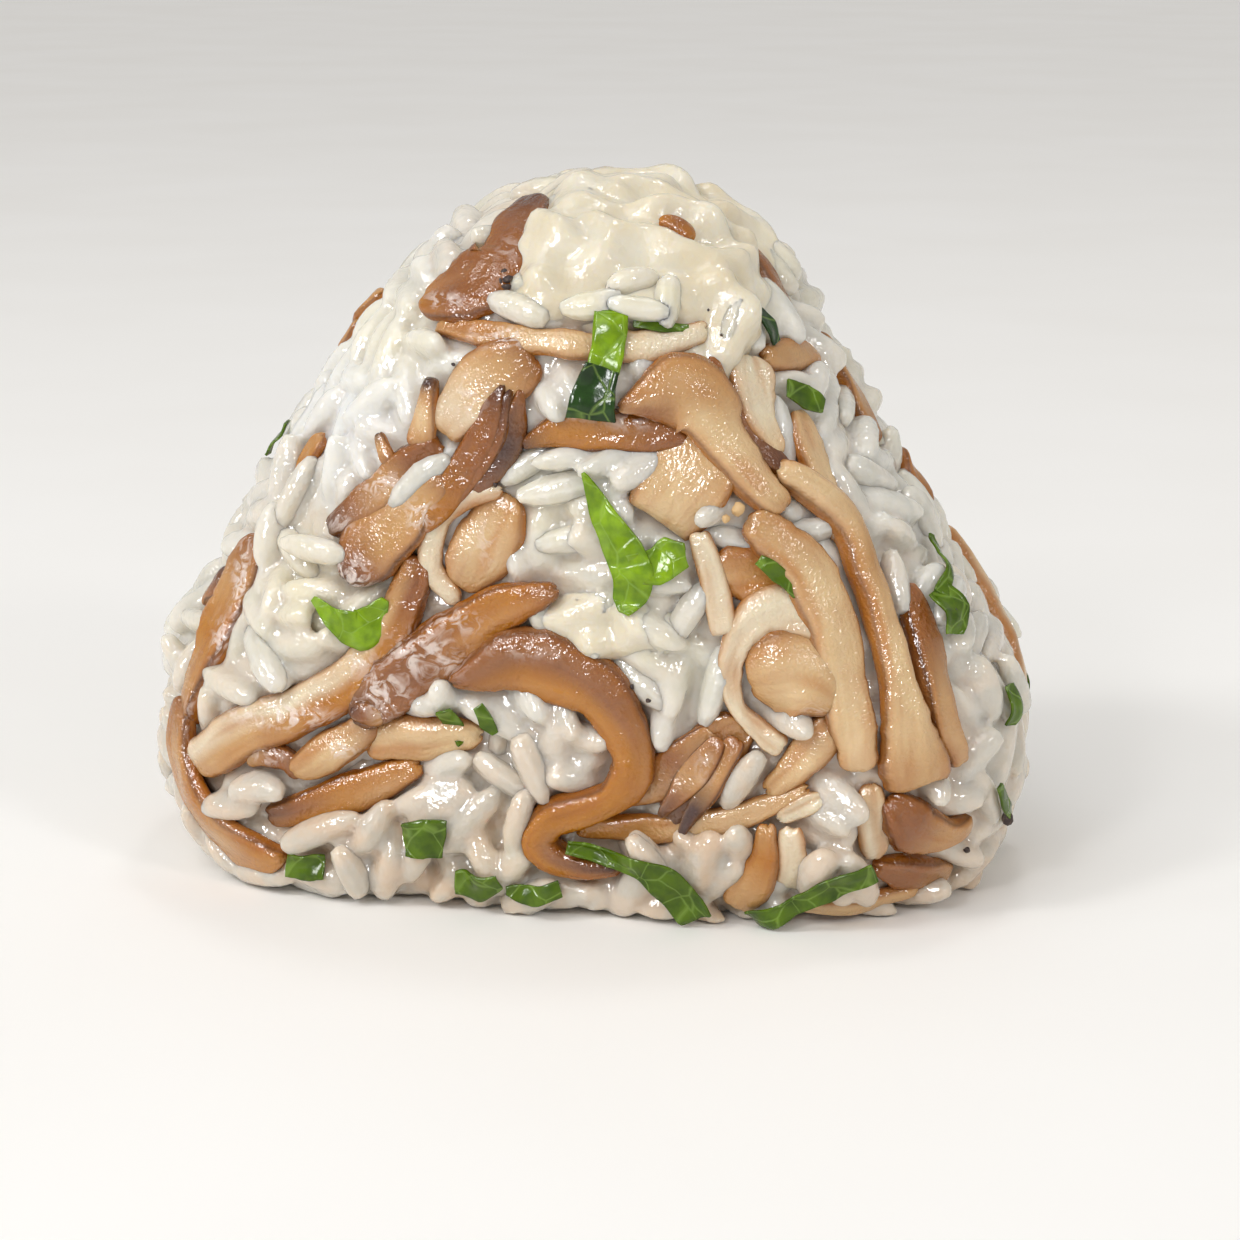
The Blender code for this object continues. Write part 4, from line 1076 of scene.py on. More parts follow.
# Grains that catch the eye: x, z, turn in the face in degrees, length, lift.
# The last of them lie in the cheese.
HERO_GRAINS = np.array((
    (-11.2, 38.9, 42.0, 7.4, 1.2),
    (14.7, 21.6, 76.0, 7.6, 0.6),
    (29.6, 30.0, 80.0, 6.0, 0.4),
    (2.2, 34.2, 12.0, 7.0, 0.4),
    (-24.0, 36.4, 78.0, 7.2, 0.5),
    (12.2, 28.0, 60.0, 6.6, 0.5),
    (-4.0, 12.6, -35.0, 6.6, 0.5),
    (7.4, 53.6, -12.0, 5.6, 1.25),
    (3.6, 54.0, 10.0, 5.6, 0.8),
    (6.8, 55.9, 14.0, 4.8, 0.8),
    (9.7, 54.2, 74.0, 5.2, 1.05),
))
CHEESE_HEROES = 4
HERO_WIDTH = 2.7
HERO_SINK = 0.9
HERO_ROOM = 2.6


def scattered(count, depth, rng):
    """Random places in a thin shell at a depth under the surface and over the base."""
    found = np.empty((0, 3))
    across, deep = HALF_SPAN
    while len(found) < count:
        places = rng.uniform((-across, -deep, BALL), (across, deep, BODY_HEIGHT), (20000, 3))
        height = height_over(places)[0]
        shell = np.abs(height + depth) < 0.4
        base = (height < -depth) & (places[:, 2] < BALL + 0.4 + depth / 3)
        found = np.concatenate([found, places[shell | base]])
    return found[:count]


def strung(centres, axes, reach, count):
    """Balls strung along grains, one grain after another."""
    ends = np.linspace(-reach, reach, count)[None, :, None]
    return (centres[:, None] + axes[:, None] * ends).reshape(-1, 3)


def near_pairs(balls, tree, reach):
    """Pairs of a ball and a place of the tree that lie within reach."""
    pairs = [
        (number, other)
        for number, ball in enumerate(balls)
        for _, other, _ in tree.find_range(ball, reach)
    ]
    return np.array(pairs).T


def settle(centres, axes, depths):
    """Press grains apart, clear of the mushroom, and to their depths.

    The places are rounded in every round, so that each run settles them alike.
    """
    bands = [band.blocks() for band in MUSHROOMS + SCRAPS]
    blocks = np.round(np.concatenate([places for places, _ in bands]), 4)
    sizes = np.concatenate([radii for _, radii in bands])
    tree = search_tree(blocks)
    wanted = -np.repeat(depths, 3)
    for turn in range(SETTLING_ROUNDS):
        balls = strung(centres, axes, REACH, 3)
        if turn % PAIRING_ROUNDS == 0:
            first, second = near_pairs(balls, search_tree(balls), PAIR_REACH)
            others = second // 3 > first // 3
            first, second = first[others], second[others]
            ball, block = near_pairs(balls, tree, BLOCK_REACH)
        push = np.zeros_like(balls)
        gap = balls[second] - balls[first]
        reach = np.maximum(np.linalg.norm(gap, axis=1), 1e-3)
        move = gap * (np.maximum(0.0, 2 * BALL - reach) / reach / 2)[:, None]
        np.add.at(push, first, -move)
        np.add.at(push, second, move)
        height, normal = height_over(balls)
        away = balls[ball] - blocks[block]
        reach = np.maximum(np.linalg.norm(away, axis=1), 1e-3)
        overlap = np.maximum(0.0, BALL + sizes[block] - reach)
        aside = unit(away / reach[:, None] - 0.3 * normal[ball])
        np.add.at(push, ball, aside * overlap[:, None] * 0.6)
        push -= normal * ((height - wanted) * 0.3)[:, None]
        push[:, 2] += np.maximum(0.0, BALL - balls[:, 2])
        push = push.reshape(-1, 3, 3)
        centres = np.round(centres + push.sum(axis=1) * 0.4, 5)
        axes = np.round(unit(axes + (push[:, 2] - push[:, 0]) * 0.5 / REACH), 6)
    balls = strung(centres, axes, REACH, 3)
    ball, block = near_pairs(balls, tree, BLOCK_REACH)
    reach = np.linalg.norm(balls[ball] - blocks[block], axis=1)
    stuck = np.zeros(len(balls))
    np.maximum.at(stuck, ball, BALL + sizes[block] - reach)
    free = stuck.reshape(-1, 3).max(axis=1) < MOST_OVERLAP
    return centres, axes, free


def hero_grains():
    """Places and axes of the grains that catch the eye."""
    places = on_face(HERO_GRAINS[:, :2], FRONT)
    normal = outward(places)
    turn = np.radians(HERO_GRAINS[:, 2:3])
    sideways = unit(np.cross([0.0, 0.0, 1.0], normal)) * FRONT
    upward = np.cross(sideways, normal)
    axes = unit(sideways * -np.cos(turn) + upward * np.sin(turn) * np.sign(upward[:, 2:3]))
    return places, places + normal * (HERO_GRAINS[:, 4:] - HERO_SINK), axes


@lru_cache(maxsize=None)
def settled_grains():
    """Centres, axes and loose marks of the grains, settled together."""
    rice = bpy.context.scene.rice_ball_rice
    rng = np.random.default_rng(SEED)
    centres = np.concatenate([
        scattered(rice.outer_count, OUTER_DEPTH, rng),
        scattered(rice.inner_count, INNER_DEPTH, rng),
    ])
    outer = np.arange(len(centres)) < rice.outer_count
    depths = np.where(outer, OUTER_DEPTH, INNER_DEPTH) + rng.uniform(-0.5, 0.5, len(centres))
    normal = outward(centres)
    tilt = rng.normal(0.0, 0.25, (len(centres), 1))
    heading = unit(rng.normal(size=centres.shape))
    axes = unit(unit(np.cross(normal, heading)) + normal * tilt)
    centres, axes, free = settle(centres, axes, depths)
    flat = np.abs((axes * outward(centres)).sum(axis=1)) < LOOSE_TILT
    loose = outer & flat & (rng.uniform(size=len(centres)) < LOOSE_SHARE)
    centres += outward(centres) * loose[:, None] * LOOSE_LIFT
    surface, hero_centres, hero_axes = hero_grains()
    apart = np.linalg.norm(centres[:, None] - surface, axis=2).min(axis=1)
    kept = free & ((apart > HERO_ROOM) | ~outer)
    return (
        np.concatenate([centres[kept], hero_centres]),
        np.concatenate([axes[kept], hero_axes]),
        np.concatenate([loose[kept], np.ones(len(HERO_GRAINS), bool)]),
    )


@lru_cache(maxsize=None)
def grain_balls():
    """The balls of the settled grains but those in the cheese, in a search tree."""
    centres, axes, _ = (part[:-CHEESE_HEROES] for part in settled_grains())
    return search_tree(strung(centres, axes, TIP_REACH, BALLS_A_GRAIN))


def lift_over_grains(places, gap, reach=4.5):
    """How far places must rise along the body's normals to lie a gap over the grains."""
    tree = grain_balls()
    lifts = np.full(len(places), -2.0)
    for k, (place, normal) in enumerate(zip(places, outward(places))):
        near = [ball for ball, _, _ in tree.find_range(place, reach)]
        if near:
            away = np.array(near) - place
            up = away @ normal
            room = (BALL + gap) ** 2 - (away ** 2).sum(axis=1) + up ** 2
            under = room > 0.0
            if under.any():
                lifts[k] = (up[under] + np.sqrt(room[under])).max()
    return lifts


def grain_kind(rng):
    """A mesh for one kind of grain, and its vertices along, aside and up from the middle."""
    mesh = shaped(
        "grain_kind", bmesh.ops.create_uvsphere,
        u_segments=GRAIN_SIDES, v_segments=GRAIN_RINGS, radius=1.0)
    side, rise, along = vertices(mesh).T
    blunt = np.maximum(np.hypot(side, rise), 1e-6) ** rng.uniform(-0.3, -0.12)
    taper = 1.0 + rng.uniform(-0.16, 0.16) * along
    waist = 1.0 - rng.uniform(0.0, 0.12) * np.exp(-(along - rng.uniform(-0.3, 0.3)) ** 2 / 0.06)
    bend = rng.uniform(-0.32, 0.32) * along ** 2
    flat = rng.uniform(0.8, 1.0)
    crease = 1.0 - rng.uniform(0.0, 0.14) * np.exp(-side ** 2 / 0.1) * (rise > 0)
    shape = np.stack([
        along,
        side * blunt * taper * waist + bend,
        rise * blunt * taper * flat * crease,
    ], axis=1)
    return mesh, shape + rng.normal(0.0, 0.018, shape.shape)


@lru_cache(maxsize=None)
def grain_tones():
    """How soaked and how chalky each settled grain is: beiger towards the bottom and whiter round
    a patch at the upper left.
    """
    centres, _, _ = settled_grains()
    rng = np.random.default_rng(SEED + 3)
    low = np.clip((26.0 - centres[:, 2]) / 20.0, 0.0, 1.0)
    patch = grain_noise(*(centres / 11.0).T) * 0.4
    soak = 0.12 + 0.65 * low ** 1.5 + patch + rng.uniform(-0.14, 0.14, len(centres))
    bright = np.exp(-((centres[:, 0] + 19.0) / 9.0) ** 2 - ((centres[:, 2] - 44.0) / 10.0) ** 2)
    chalk = 0.1 + 0.7 * bright + 0.25 * rng.uniform(0.0, 1.0, len(centres)) ** 3 * (1.0 - low)
    chalk[-len(HERO_GRAINS):] = 0.15
    return np.clip(soak, 0.0, 1.0), np.clip(chalk, 0.0, 1.0)


# Where melted cheese has run in between the grains: x, z, half width, half height, richness
GLAZE = (
    (-21.5, 28.5, 7.5, 6.0, 0.8), (-0.5, 36.0, 4.5, 5.0, 0.7), (-2.0, 6.0, 5.0, 3.0, 0.35),
    (-16.0, 50.5, 8.0, 4.0, 0.7), (-32.0, 21.0, 5.0, 5.0, 0.4), (12.0, 24.0, 5.0, 4.0, 0.4),
)


def paint_rice(mesh, places, grain):
    """Soak, chalk and glaze rice, by the places of its vertices and the grain of each, with
    painted shade in the creases.
    """
    soak, chalk = grain_tones()
    # Painted shade: rice lying deep between the grains turns beige like soaked rice
    crease = np.clip((0.0 - height_over(places)[0]) / 1.8, 0.0, 1.0)
    rich = np.clip(1.0 + cheese_spread(places), 0.0, 1.0) * 0.8
    paint(
        mesh, soak=np.clip(soak[grain] + 0.35 * crease, 0.0, 1.0), chalk=chalk[grain],
        glaze=np.maximum(rich, pooled(places, GLAZE)))


def grain_mesh(name, chosen, sink=0.0):
    """A closed mesh of the chosen settled grains; sink presses the loose ones in."""
    rice = bpy.context.scene.rice_ball_rice
    centres, axes, loose = settled_grains()
    centres = centres - outward(centres) * loose[:, None] * sink
    rng = np.random.default_rng(SEED + 1)
    kinds = [grain_kind(rng) for _ in range(GRAIN_KINDS)]
    count = len(centres)
    kind = rng.integers(0, GRAIN_KINDS, count)
    length = rice.grain_length / MM * rng.normal(1.0, 0.09, count).clip(0.75, 1.2)
    width = rice.grain_width / MM * rng.normal(1.0, 0.07, count).clip(0.82, 1.16)
    turn = rng.uniform(0.0, 2 * np.pi, count)
    length[-len(HERO_GRAINS):] = HERO_GRAINS[:, 3]
    width[-len(HERO_GRAINS):] = HERO_WIDTH
    chosen = np.flatnonzero(chosen)
    mesh = joined(name, [kinds[k][0] for k in kind[chosen]])
    shapes = np.array([shape for _, shape in kinds])[kind[chosen]]
    axis = axes[chosen]
    first = unit(np.cross(outward(centres[chosen]), axis))
    second = unit(np.cross(axis, first))
    cosine = np.cos(turn[chosen])[:, None]
    sine = np.sin(turn[chosen])[:, None]
    side = first * cosine + second * sine
    rise = second * cosine - first * sine
    half_length = (length[chosen] / 2)[:, None, None]
    half_width = (width[chosen] / 2)[:, None, None]
    places = (
        centres[chosen][:, None]
        + shapes[:, :, :1] * half_length * axis[:, None]
        + shapes[:, :, 1:2] * half_width * side[:, None]
        + shapes[:, :, 2:] * half_width * rise[:, None]
    ).reshape(-1, 3)
    set_vertices(mesh, places, floor=0.1)
    paint_rice(mesh, places, np.repeat(chosen, shapes.shape[1]))
    return mesh


def make_grains():
    """The rice grains of the front half and of the back half."""
    centres, _, loose = settled_grains()
    front = centres[:, 1] < 0.0
    loose = loose & (cheese_spread(centres) < 0.1)
    loose[-CHEESE_HEROES:] = True
    for name, chosen in (("front", loose & front), ("back", loose & ~front)):
        mesh = grain_mesh(f"rice_grains_{name}", chosen)
        dress(new_object(mesh.name, mesh), rice_finish(), "rice", "rice_ball")


# ----------------------------------------------------------------------- core
CORE_CUTS = 26
CORE_DEPTH = 1.25
CORE_BODY = np.array([80.0, 42.0, 63.0])
CORE_CENTRE = np.array([0.0, 0.0, 26.0])
CORE_TRIANGLES = 190000


def body_mesh(depth, cuts):
    """The body's form at a depth under its surface, in millimetres."""
    mesh = shaped("body", bmesh.ops.create_cube, size=1.0)
    with editing(mesh) as work:
        bmesh.ops.subdivide_edges(work, edges=work.edges, cuts=cuts, use_grid_fill=True)
    heading = unit(np.tan(vertices(mesh) * 1.35) * CORE_BODY)
    places = cast(np.tile(CORE_CENTRE, (len(heading), 1)), heading)
    places -= outward(places) * depth
    set_vertices(mesh, places, floor=0.3)
    return mesh


def outer_skin(mesh):
    """Keep only a mesh's largest shell, without the hollows shut inside it."""
    with editing(mesh) as work:
        unseen = set(work.verts)
        shells = []
        while unseen:
            front = [unseen.pop()]
            shell = list(front)
            while front:
                beside = [edge.other_vert(vert) for vert in front for edge in vert.link_edges]
                front = [vert for vert in dict.fromkeys(beside) if vert in unseen]
                unseen.difference_update(front)
                shell += front
            shells.append(shell)
        shells.sort(key=len)
        hollows = [vert for shell in shells[:-1] for vert in shell]
        bmesh.ops.delete(work, geom=hollows, context="VERTS")


def make_core():
    """The sticky rice under and between the grains."""
    rice = bpy.context.scene.rice_ball_rice
    centres, _, _ = settled_grains()
    grains = grain_mesh("fused_grains", np.ones(len(centres), bool), LOOSE_SINK)
    made = new_object("rice_core", joined("rice_core", [body_mesh(CORE_DEPTH, CORE_CUTS), grains]))
    # The new skin is painted afresh, so the grains' own layers go
    for name in ("soak", "chalk", "glaze"):
        made.data.attributes.remove(made.data.attributes[name])
    modified(made, "REMESH", mode="VOXEL", voxel_size=rice.glue_voxel / MM)
    outer_skin(made.data)
    smoothed(made.data, 1)
    share = CORE_TRIANGLES / (2.0 * len(made.data.polygons))
    modified(made, "DECIMATE", ratio=min(1.0, share))
    places = vertices(made.data)
    set_vertices(made.data, places, floor=0.05)
    tree = grain_balls()
    nearest = [tree.find(place)[1] // BALLS_A_GRAIN for place in places]
    paint_rice(made.data, places, nearest)
    dress(made, rice_finish(), "rice", "rice_ball")


# --------------------------------------------------------------------- cheese
CHEESE_CUTS = 120
CHEESE_WALL = 0.9
CHEESE_EDGE = -0.7
CHEESE_PATCHES = (
    (6.6, 58.4, 10.6, 5.8, 1.0), (5.0, 26.6, 4.6, 2.6, 0.5), (14.2, 52.4, 2.8, 4.2, 0.6),
)


def cheese_spread(places):
    """How richly the melted cheese lies at places; below zero where there is none."""
    x, y, z = places.T
    front = 1.0 - np.clip((y + 4.0) / 12.0, 0.0, 1.0)
    spread = np.max([
        (1.0 - np.hypot((x - across) / wide, (z - high) / tall) ** 2) * rich
        for across, high, wide, tall, rich in CHEESE_PATCHES
    ], axis=0)
    return np.clip(spread, -1.0, 1.0) * front + np.minimum(front - 0.5, 0.0)


def make_cheese():
    """The melted cheese: a soft sheet over the grains, in folds, with a ragged edge."""
    mesh = body_mesh(0.0, CHEESE_CUTS)
    places = vertices(mesh)
    spread = cheese_spread(places) + crumple(places, 2.6, 0.3, 4.0)[:, 0]
    with editing(mesh) as work:
        bare = [vert for vert, rich in zip(work.verts, spread) if rich < CHEESE_EDGE]
        bmesh.ops.delete(work, geom=bare, context="VERTS")
    places = vertices(mesh)
    spread = spread[spread >= CHEESE_EDGE]
    folds = grain_noise(*(places * (0.42, 0.3, 0.16)).T)
    depth = np.clip(spread, CHEESE_EDGE, 0.25)
    film = np.clip(lift_over_grains(places, 0.3), -0.5, 2.3)
    rise = film + depth * 2.2 - 0.25 + folds * 1.5 * np.clip(spread * 3.0, 0.0, 1.0)
    places += outward(places) * rise[:, None]
    set_vertices(mesh, places, floor=1.0)
    smoothed(mesh, 5)
    made = new_object("melted_cheese", mesh)
    modified(made, "SOLIDIFY", thickness=CHEESE_WALL, offset=-1.0)
    dress(made, cheese_finish(), "cheese")


# --------------------------------------------------------------------- leaves
LEAF_ROWS = 26
LEAF_COLUMNS = 9
LEAF_THICKNESS = 0.24
LEAF_GAP = 0.42
LEAF_WAVE = 0.25


class Leaf:
    """A cut piece of leaf: a route with the widths left and right of it.

    stations hold x, z and the two widths, or x, y, z and the two widths round a side,
    where face is None. curl lifts its edges, and twist turns it along its length.
    """

    def __init__(self, tone, stations, lift=0.5, curl=0.0, twist=0.0, face=FRONT):
        table = np.array(stations, float)
        self.tone = tone
        self.places = on_face(table[:, :2], face) if face else on_side(table[:, :3])
        self.sides = table[:, -2:]
        self.lift = lift
        self.curl = curl
        self.twist = math.radians(twist)

    @staticmethod
    def drape(places):
        """How far each place of the leaf's grid is lifted to lie evenly over the grains."""
        lift = np.maximum(lift_over_grains(places, LEAF_GAP), 0.0)
        lift = lift.reshape(LEAF_COLUMNS + 1, LEAF_ROWS + 1)
        least = lift - 0.15
        for _ in range(LEAF_ROWS):
            padded = np.pad(lift, 1, mode="edge")
            beside = (padded[:-2, 1:-1], padded[2:, 1:-1], padded[1:-1, :-2], padded[1:-1, 2:])
            lift = np.maximum((lift + sum(beside) / 4.0) / 2.0, least)
        return lift.ravel()

    def mesh(self, number):
        """The leaf as a thin closed sheet, in millimetres."""
        mesh = shaped(
            "leaf", bmesh.ops.create_grid,
            x_segments=LEAF_ROWS, y_segments=LEAF_COLUMNS, size=0.5)
        share, side, _ = vertices(mesh).T + 0.5
        share = np.clip(share, 0.0, 1.0)
        centre = curve_through(self.places, share)
        normal = outward(centre)
        across = unit(np.cross(normal, heading_of(self.places, share, 0.02)))
        left, right = values_along(share, self.sides).T
        aside = -left + (left + right) * side
        run = share * travelled(self.places)
        turned = self.twist * (share - 0.5)
        rise = self.lift + self.curl * (side * 2.0 - 1.0) ** 2 + aside * np.sin(turned)
        rise += LEAF_WAVE * np.sin(run * 1.3 + number) * np.cos(aside * 1.1 + number * 2.0)
        places = centre + across * (aside * np.cos(turned))[:, None] + normal * rise[:, None]
        places += crumple(places, 1.6, 0.16, number)
        places += normal * self.drape(places)[:, None]
        set_vertices(mesh, places, floor=0.25)
        lay_flesh(mesh, run, aside)
        tone = np.array(tuple(getattr(bpy.context.scene.rice_ball_garnish, self.tone)))
        shade = 1.0 - 0.25 * np.sin(run * 0.9 + number)[:, None] ** 2
        paint_tint(mesh, tone * shade)
        weld(mesh, 0.02)
        made = new_object("leaf", mesh)
        modified(made, "SOLIDIFY", thickness=LEAF_THICKNESS, offset=0.0, use_even_offset=False)
        solid = made.data
        bpy.data.objects.remove(made)
        return solid


LEAVES = (
    Leaf("bright_leaf", (
        (5.2, 53.4, 1.3, 1.5), (5.2, 51, 1.4, 1.5), (4.9, 48.6, 1.4, 1.4)), lift=0.7),
    Leaf("dark_leaf", (
        (5, 49, 1.5, 1.3), (4.4, 47, 1.9, 1.7), (4.2, 44.8, 2.2, 2)), lift=0.9, curl=0.5),
    Leaf("leaf", (
        (7.2, 52.6, 0.3, 0.3), (9.4, 52.3, 0.6, 0.5), (11.6, 52.1, 0.3, 0.3)), lift=0.1),
    Leaf("bright_leaf", (
        (3.5, 40.3, 0.1, 0.1), (4.6, 37.6, 0.9, 1.1), (6.3, 34.4, 1.4, 1.8),
        (7.6, 31.6, 1.6, 2), (7.2, 29.4, 1.3, 1.6), (7, 28.3, 0.4, 0.6)), lift=1),
    Leaf("bright_leaf", (
        (7.4, 32.4, 1.4, 1), (9.6, 32.9, 2, 1.2), (10.8, 33.3, 1.8, 1.7), (12.2, 33.6, 1.2, 0.9)),
        lift=1.2),
    Leaf("bright_leaf", (
        (-20.6, 27.8, 0.2, 0.4), (-19.3, 26.9, 0.7, 0.8), (-17.7, 26.3, 1.5, 1.1),
        (-16.4, 26, 2.4, 1.5), (-15.2, 26.8, 1.4, 1.3), (-14.1, 28.3, 0.3, 0.4)), lift=0.6),
    Leaf("leaf", (
        (-9, 18.8, 0.6, 0.8), (-8.2, 17, 0.9, 0.9), (-7.4, 15.8, 0.4, 0.4)), lift=-0.1),
    Leaf("leaf", (
        (-5.9, 19.4, 0.4, 0.5), (-5, 18, 0.8, 0.7), (-4.4, 17, 0.3, 0.3)), lift=-0.1),
    Leaf("leaf", (
        (-12.6, 7.2, 1.6, 1.4), (-10.8, 7.4, 1.9, 1.9), (-8.9, 7.2, 1.5, 2)),
        lift=0.7, curl=0.3),
    Leaf("leaf", (
        (-8.2, 3.6, 1.3, 1), (-6.2, 3.4, 1.4, 1.6), (-4, 4, 0.6, 0.9)), lift=0.6),
    Leaf("leaf", (
        (-3.6, 3.1, 0.4, 0.5), (-1.2, 3.2, 0.9, 0.8), (1.4, 3.8, 0.6, 0.7)), lift=0.5),
    Leaf("leaf", (
        (2, 7.2, 0.5, 0.5), (5.4, 6.5, 0.8, 0.7), (8.8, 6.2, 1.2, 1), (11.4, 4.6, 1.7, 1.5),
        (13.2, 1.8, 1.5, 1.8)), lift=1.1, curl=0.5, twist=40),
    Leaf("leaf", (
        (18, 32.9, 0.5, 0.5), (19.8, 31.6, 0.8, 0.7), (21.3, 29.8, 0.4, 0.3)), lift=1),
    Leaf("leaf", (
        (19.4, 46.4, 0.8, 0.9), (20.8, 45.4, 1.1, 1.1), (22.2, 44.4, 0.6, 0.6)), lift=0.3),
    Leaf("dark_leaf", (
        (16.4, 52.6, 0.5, 0.5), (17.4, 51.3, 0.9, 0.9), (18.3, 50, 0.5, 0.5)), lift=0.2),
    Leaf("leaf", (
        (32, 28.4, 1.4, 1.2), (33, 26.6, 1.7, 1.7), (33.6, 24.8, 1, 0.9)), lift=0.9, curl=0.5),
    Leaf("leaf", (
        (32.4, 33, 0.3, 0.3), (32.2, 30.6, 0.6, 0.5), (32.2, 28, 0.7, 0.7)), lift=0.5),
    Leaf("leaf", (
        (28, 6.4, 0.9, 1), (24.6, 4.8, 1.1, 1.2), (21.4, 3, 0.7, 0.8), (18.2, 1.2, 1.3, 1.2)),
        lift=0.9, curl=0.4, twist=-30),
    Leaf("leaf", (
        (-23.6, 3.9, 1, 1), (-22, 3.9, 1.3, 1.1), (-20.2, 4, 1.1, 0.7)), lift=0.5),
    Leaf("leaf", (
        (37.6, 3, 17.6, 0.8, 0.9), (38.4, 3, 15.6, 1.1, 1), (38.8, 3, 13.6, 0.4, 0.5)),
        face=None),
    Leaf("leaf", (
        (38.2, -8.6, 19.6, 0.8, 0.8), (38.4, -8.7, 18, 1, 0.9), (38.3, -9, 16.2, 0.5, 0.6)),
        face=None),
    Leaf("leaf", (
        (37.3, -12, 11.9, 0.4, 0.4), (37.9, -10.6, 9.7, 0.8, 0.6), (38.4, -7, 7.2, 0.3, 0.3)),
        face=None),
    Leaf("leaf", (
        (-26, -4, 39.6, 0.7, 0.7), (-27.4, -4, 38.4, 1, 1), (-28.8, -4, 37, 0.6, 0.6)),
        face=None),
    Leaf("leaf", (
        (-6, 41, 1.2, 1.4), (-3.4, 40, 1.6, 1.8), (-0.8, 38.2, 0.8, 0.6)), face=BACK, curl=0.4),
    Leaf("bright_leaf", (
        (18.6, 12.6, 0.8, 1), (20.8, 15, 1.5, 1.4), (22.6, 17.6, 0.6, 0.8)), face=BACK),
    Leaf("leaf", (
        (-22, 36, 1, 1), (-20, 34, 1.5, 1.5), (-18.4, 31.6, 0.8, 0.7)), face=BACK, curl=0.4),
    Leaf("leaf", (
        (-2.6, 22.4, 1, 1.2), (-5, 20.6, 1.4, 1.3), (-7.2, 18.4, 0.5, 0.6)), face=BACK),
    Leaf("leaf", (
        (27.6, 6.4, 1, 0.9), (24.8, 5.4, 1.4, 1.2), (21.8, 5, 0.8, 1)), face=BACK),
    Leaf("leaf", (
        (10.6, 46.6, 0.8, 0.8), (11.8, 44.6, 1.2, 1.4), (12.2, 42.4, 0.4, 0.5)), face=BACK),
    Leaf("leaf", (
        (-20.6, 3.8, 1, 1), (-23.4, 4.4, 1.4, 1.4), (-26, 4.6, 0.7, 0.7)), face=BACK),
)


def make_leaves():
    """Every cut leaf, as one piece."""
    mesh = joined("herb_leaves", [leaf.mesh(number) for number, leaf in enumerate(LEAVES)])
    dress(new_object("herb_leaves", mesh), leaf_finish(), "herb")


# --------------------------------------------------------------------- specks
# Specks of pepper and crumbs of garlic on the front: x, z, size
PEPPER = np.array((
    (4.9, 23.2, 0.3), (7.6, 21.6, 0.26), (9.1, 20.6, 0.22), (14.0, 51.2, 0.2),
    (-4.4, 56.4, 0.34), (-4.0, 55.9, 0.44), (-3.9, 55.2, 0.38), (-4.6, 55.7, 0.3),
    (13.0, 53.4, 0.16), (31.4, 26.0, 0.4), (33.0, 26.4, 0.34), (5.7, 61.6, 0.22),
    (11.0, 39.8, 0.2), (37.9, 8.6, 0.6), (35.8, 5.7, 0.26), (7.2, 21.7, 0.2),
    (-8.3, 48.8, 0.2), (-4.4, 38.8, 0.34), (-16.6, 23.3, 0.24),
))
GARLIC = np.array(((16.6, 37.4, 0.55), (15.6, 36.7, 0.42)))
GARLIC_STEP = np.array((0.0, -1.6, 0.0))
SPECK_GAP = 0.1

# Pepper on the back: how many specks, and the corners of the x, z box they fall in
BACK_SPECKS = 16
BACK_CORNERS = ((-20.0, 6.0), (14.0, 40.0))


def clear_of_grains(places):
    """Places lifted until a speck there lies over the grains."""
    lifts = np.maximum(lift_over_grains(places, SPECK_GAP), 0.0)
    return places + outward(places) * lifts[:, None]


def speck_mesh(name, places, sizes, rng):
    """Small crumbs at places, each of a few facets."""
    crumbs = []
    for place, size in zip(places, sizes):
        crumb = shaped(name, bmesh.ops.create_icosphere, subdivisions=2, radius=size)
        with editing(crumb) as work:
            for vert in work.verts:
                vert.co *= 1.0 + 0.5 * noise.noise(vert.co / size * 1.1 + Vector(place))
            bmesh.ops.scale(work, vec=Vector(rng.uniform(0.55, 1.2, 3)), verts=work.verts)
            bmesh.ops.translate(work, vec=Vector(place), verts=work.verts)
        crumbs.append(crumb)
    return joined(name, crumbs)


def make_specks():
    """Pepper specks and garlic crumbs that cling to the surface."""
    pepper = bpy.context.scene.rice_ball_garnish.pepper
    rng = np.random.default_rng(SEED + 2)
    behind = rng.uniform(*BACK_CORNERS, (BACK_SPECKS, 2))
    places = clear_of_grains(
        np.concatenate([on_face(PEPPER[:, :2], FRONT), on_face(behind, BACK)]))
    sizes = np.concatenate([PEPPER[:, 2], rng.uniform(0.2, 0.5, BACK_SPECKS)])
    made = new_object("pepper_specks", speck_mesh("pepper_specks", places, sizes, rng))
    dress(made, speck_finish("pepper", pepper, 0.45), "pepper")
    places = clear_of_grains(on_face(GARLIC[:, :2], FRONT)) + GARLIC_STEP
    made = new_object("garlic_crumbs", speck_mesh("garlic_crumbs", places, GARLIC[:, 2], rng))
    dress(made, speck_finish("garlic", rgb(208, 172, 122), 0.35), "cheese")


# ---------------------------------------------------------------------- stage
# Where the lamps and the camera look, and how far the camera stands to the right
TARGET_HEIGHT = 21.9
TARGET_ASIDE = 2.7

# Square lamps: name, place in metres, size in metres, power, colour
LAMPS = (
    ("key", (-0.42, -0.36, 0.52), 0.12, 1.0, (1.0, 0.99, 0.97)),
    ("left", (-0.6, -0.28, 0.16), 0.08, 0.4, (0.97, 0.98, 1.0)),
    ("front", (-0.2, -0.64, 0.42), 0.1, 0.8, (0.98, 0.98, 1.0)),
    ("right", (0.5, -0.42, 0.4), 0.1, 0.8, (1.0, 1.0, 1.0)),
    ("top", (0.05, 0.22, 0.7), 0.1, 0.4, (1.0, 1.0, 1.0)),
)

# A broad card that shows only in wet, glossy surfaces
CARD = ("card", (-0.16, -0.62, 0.34), 0.22, 3.2, (0.98, 0.98, 1.0))

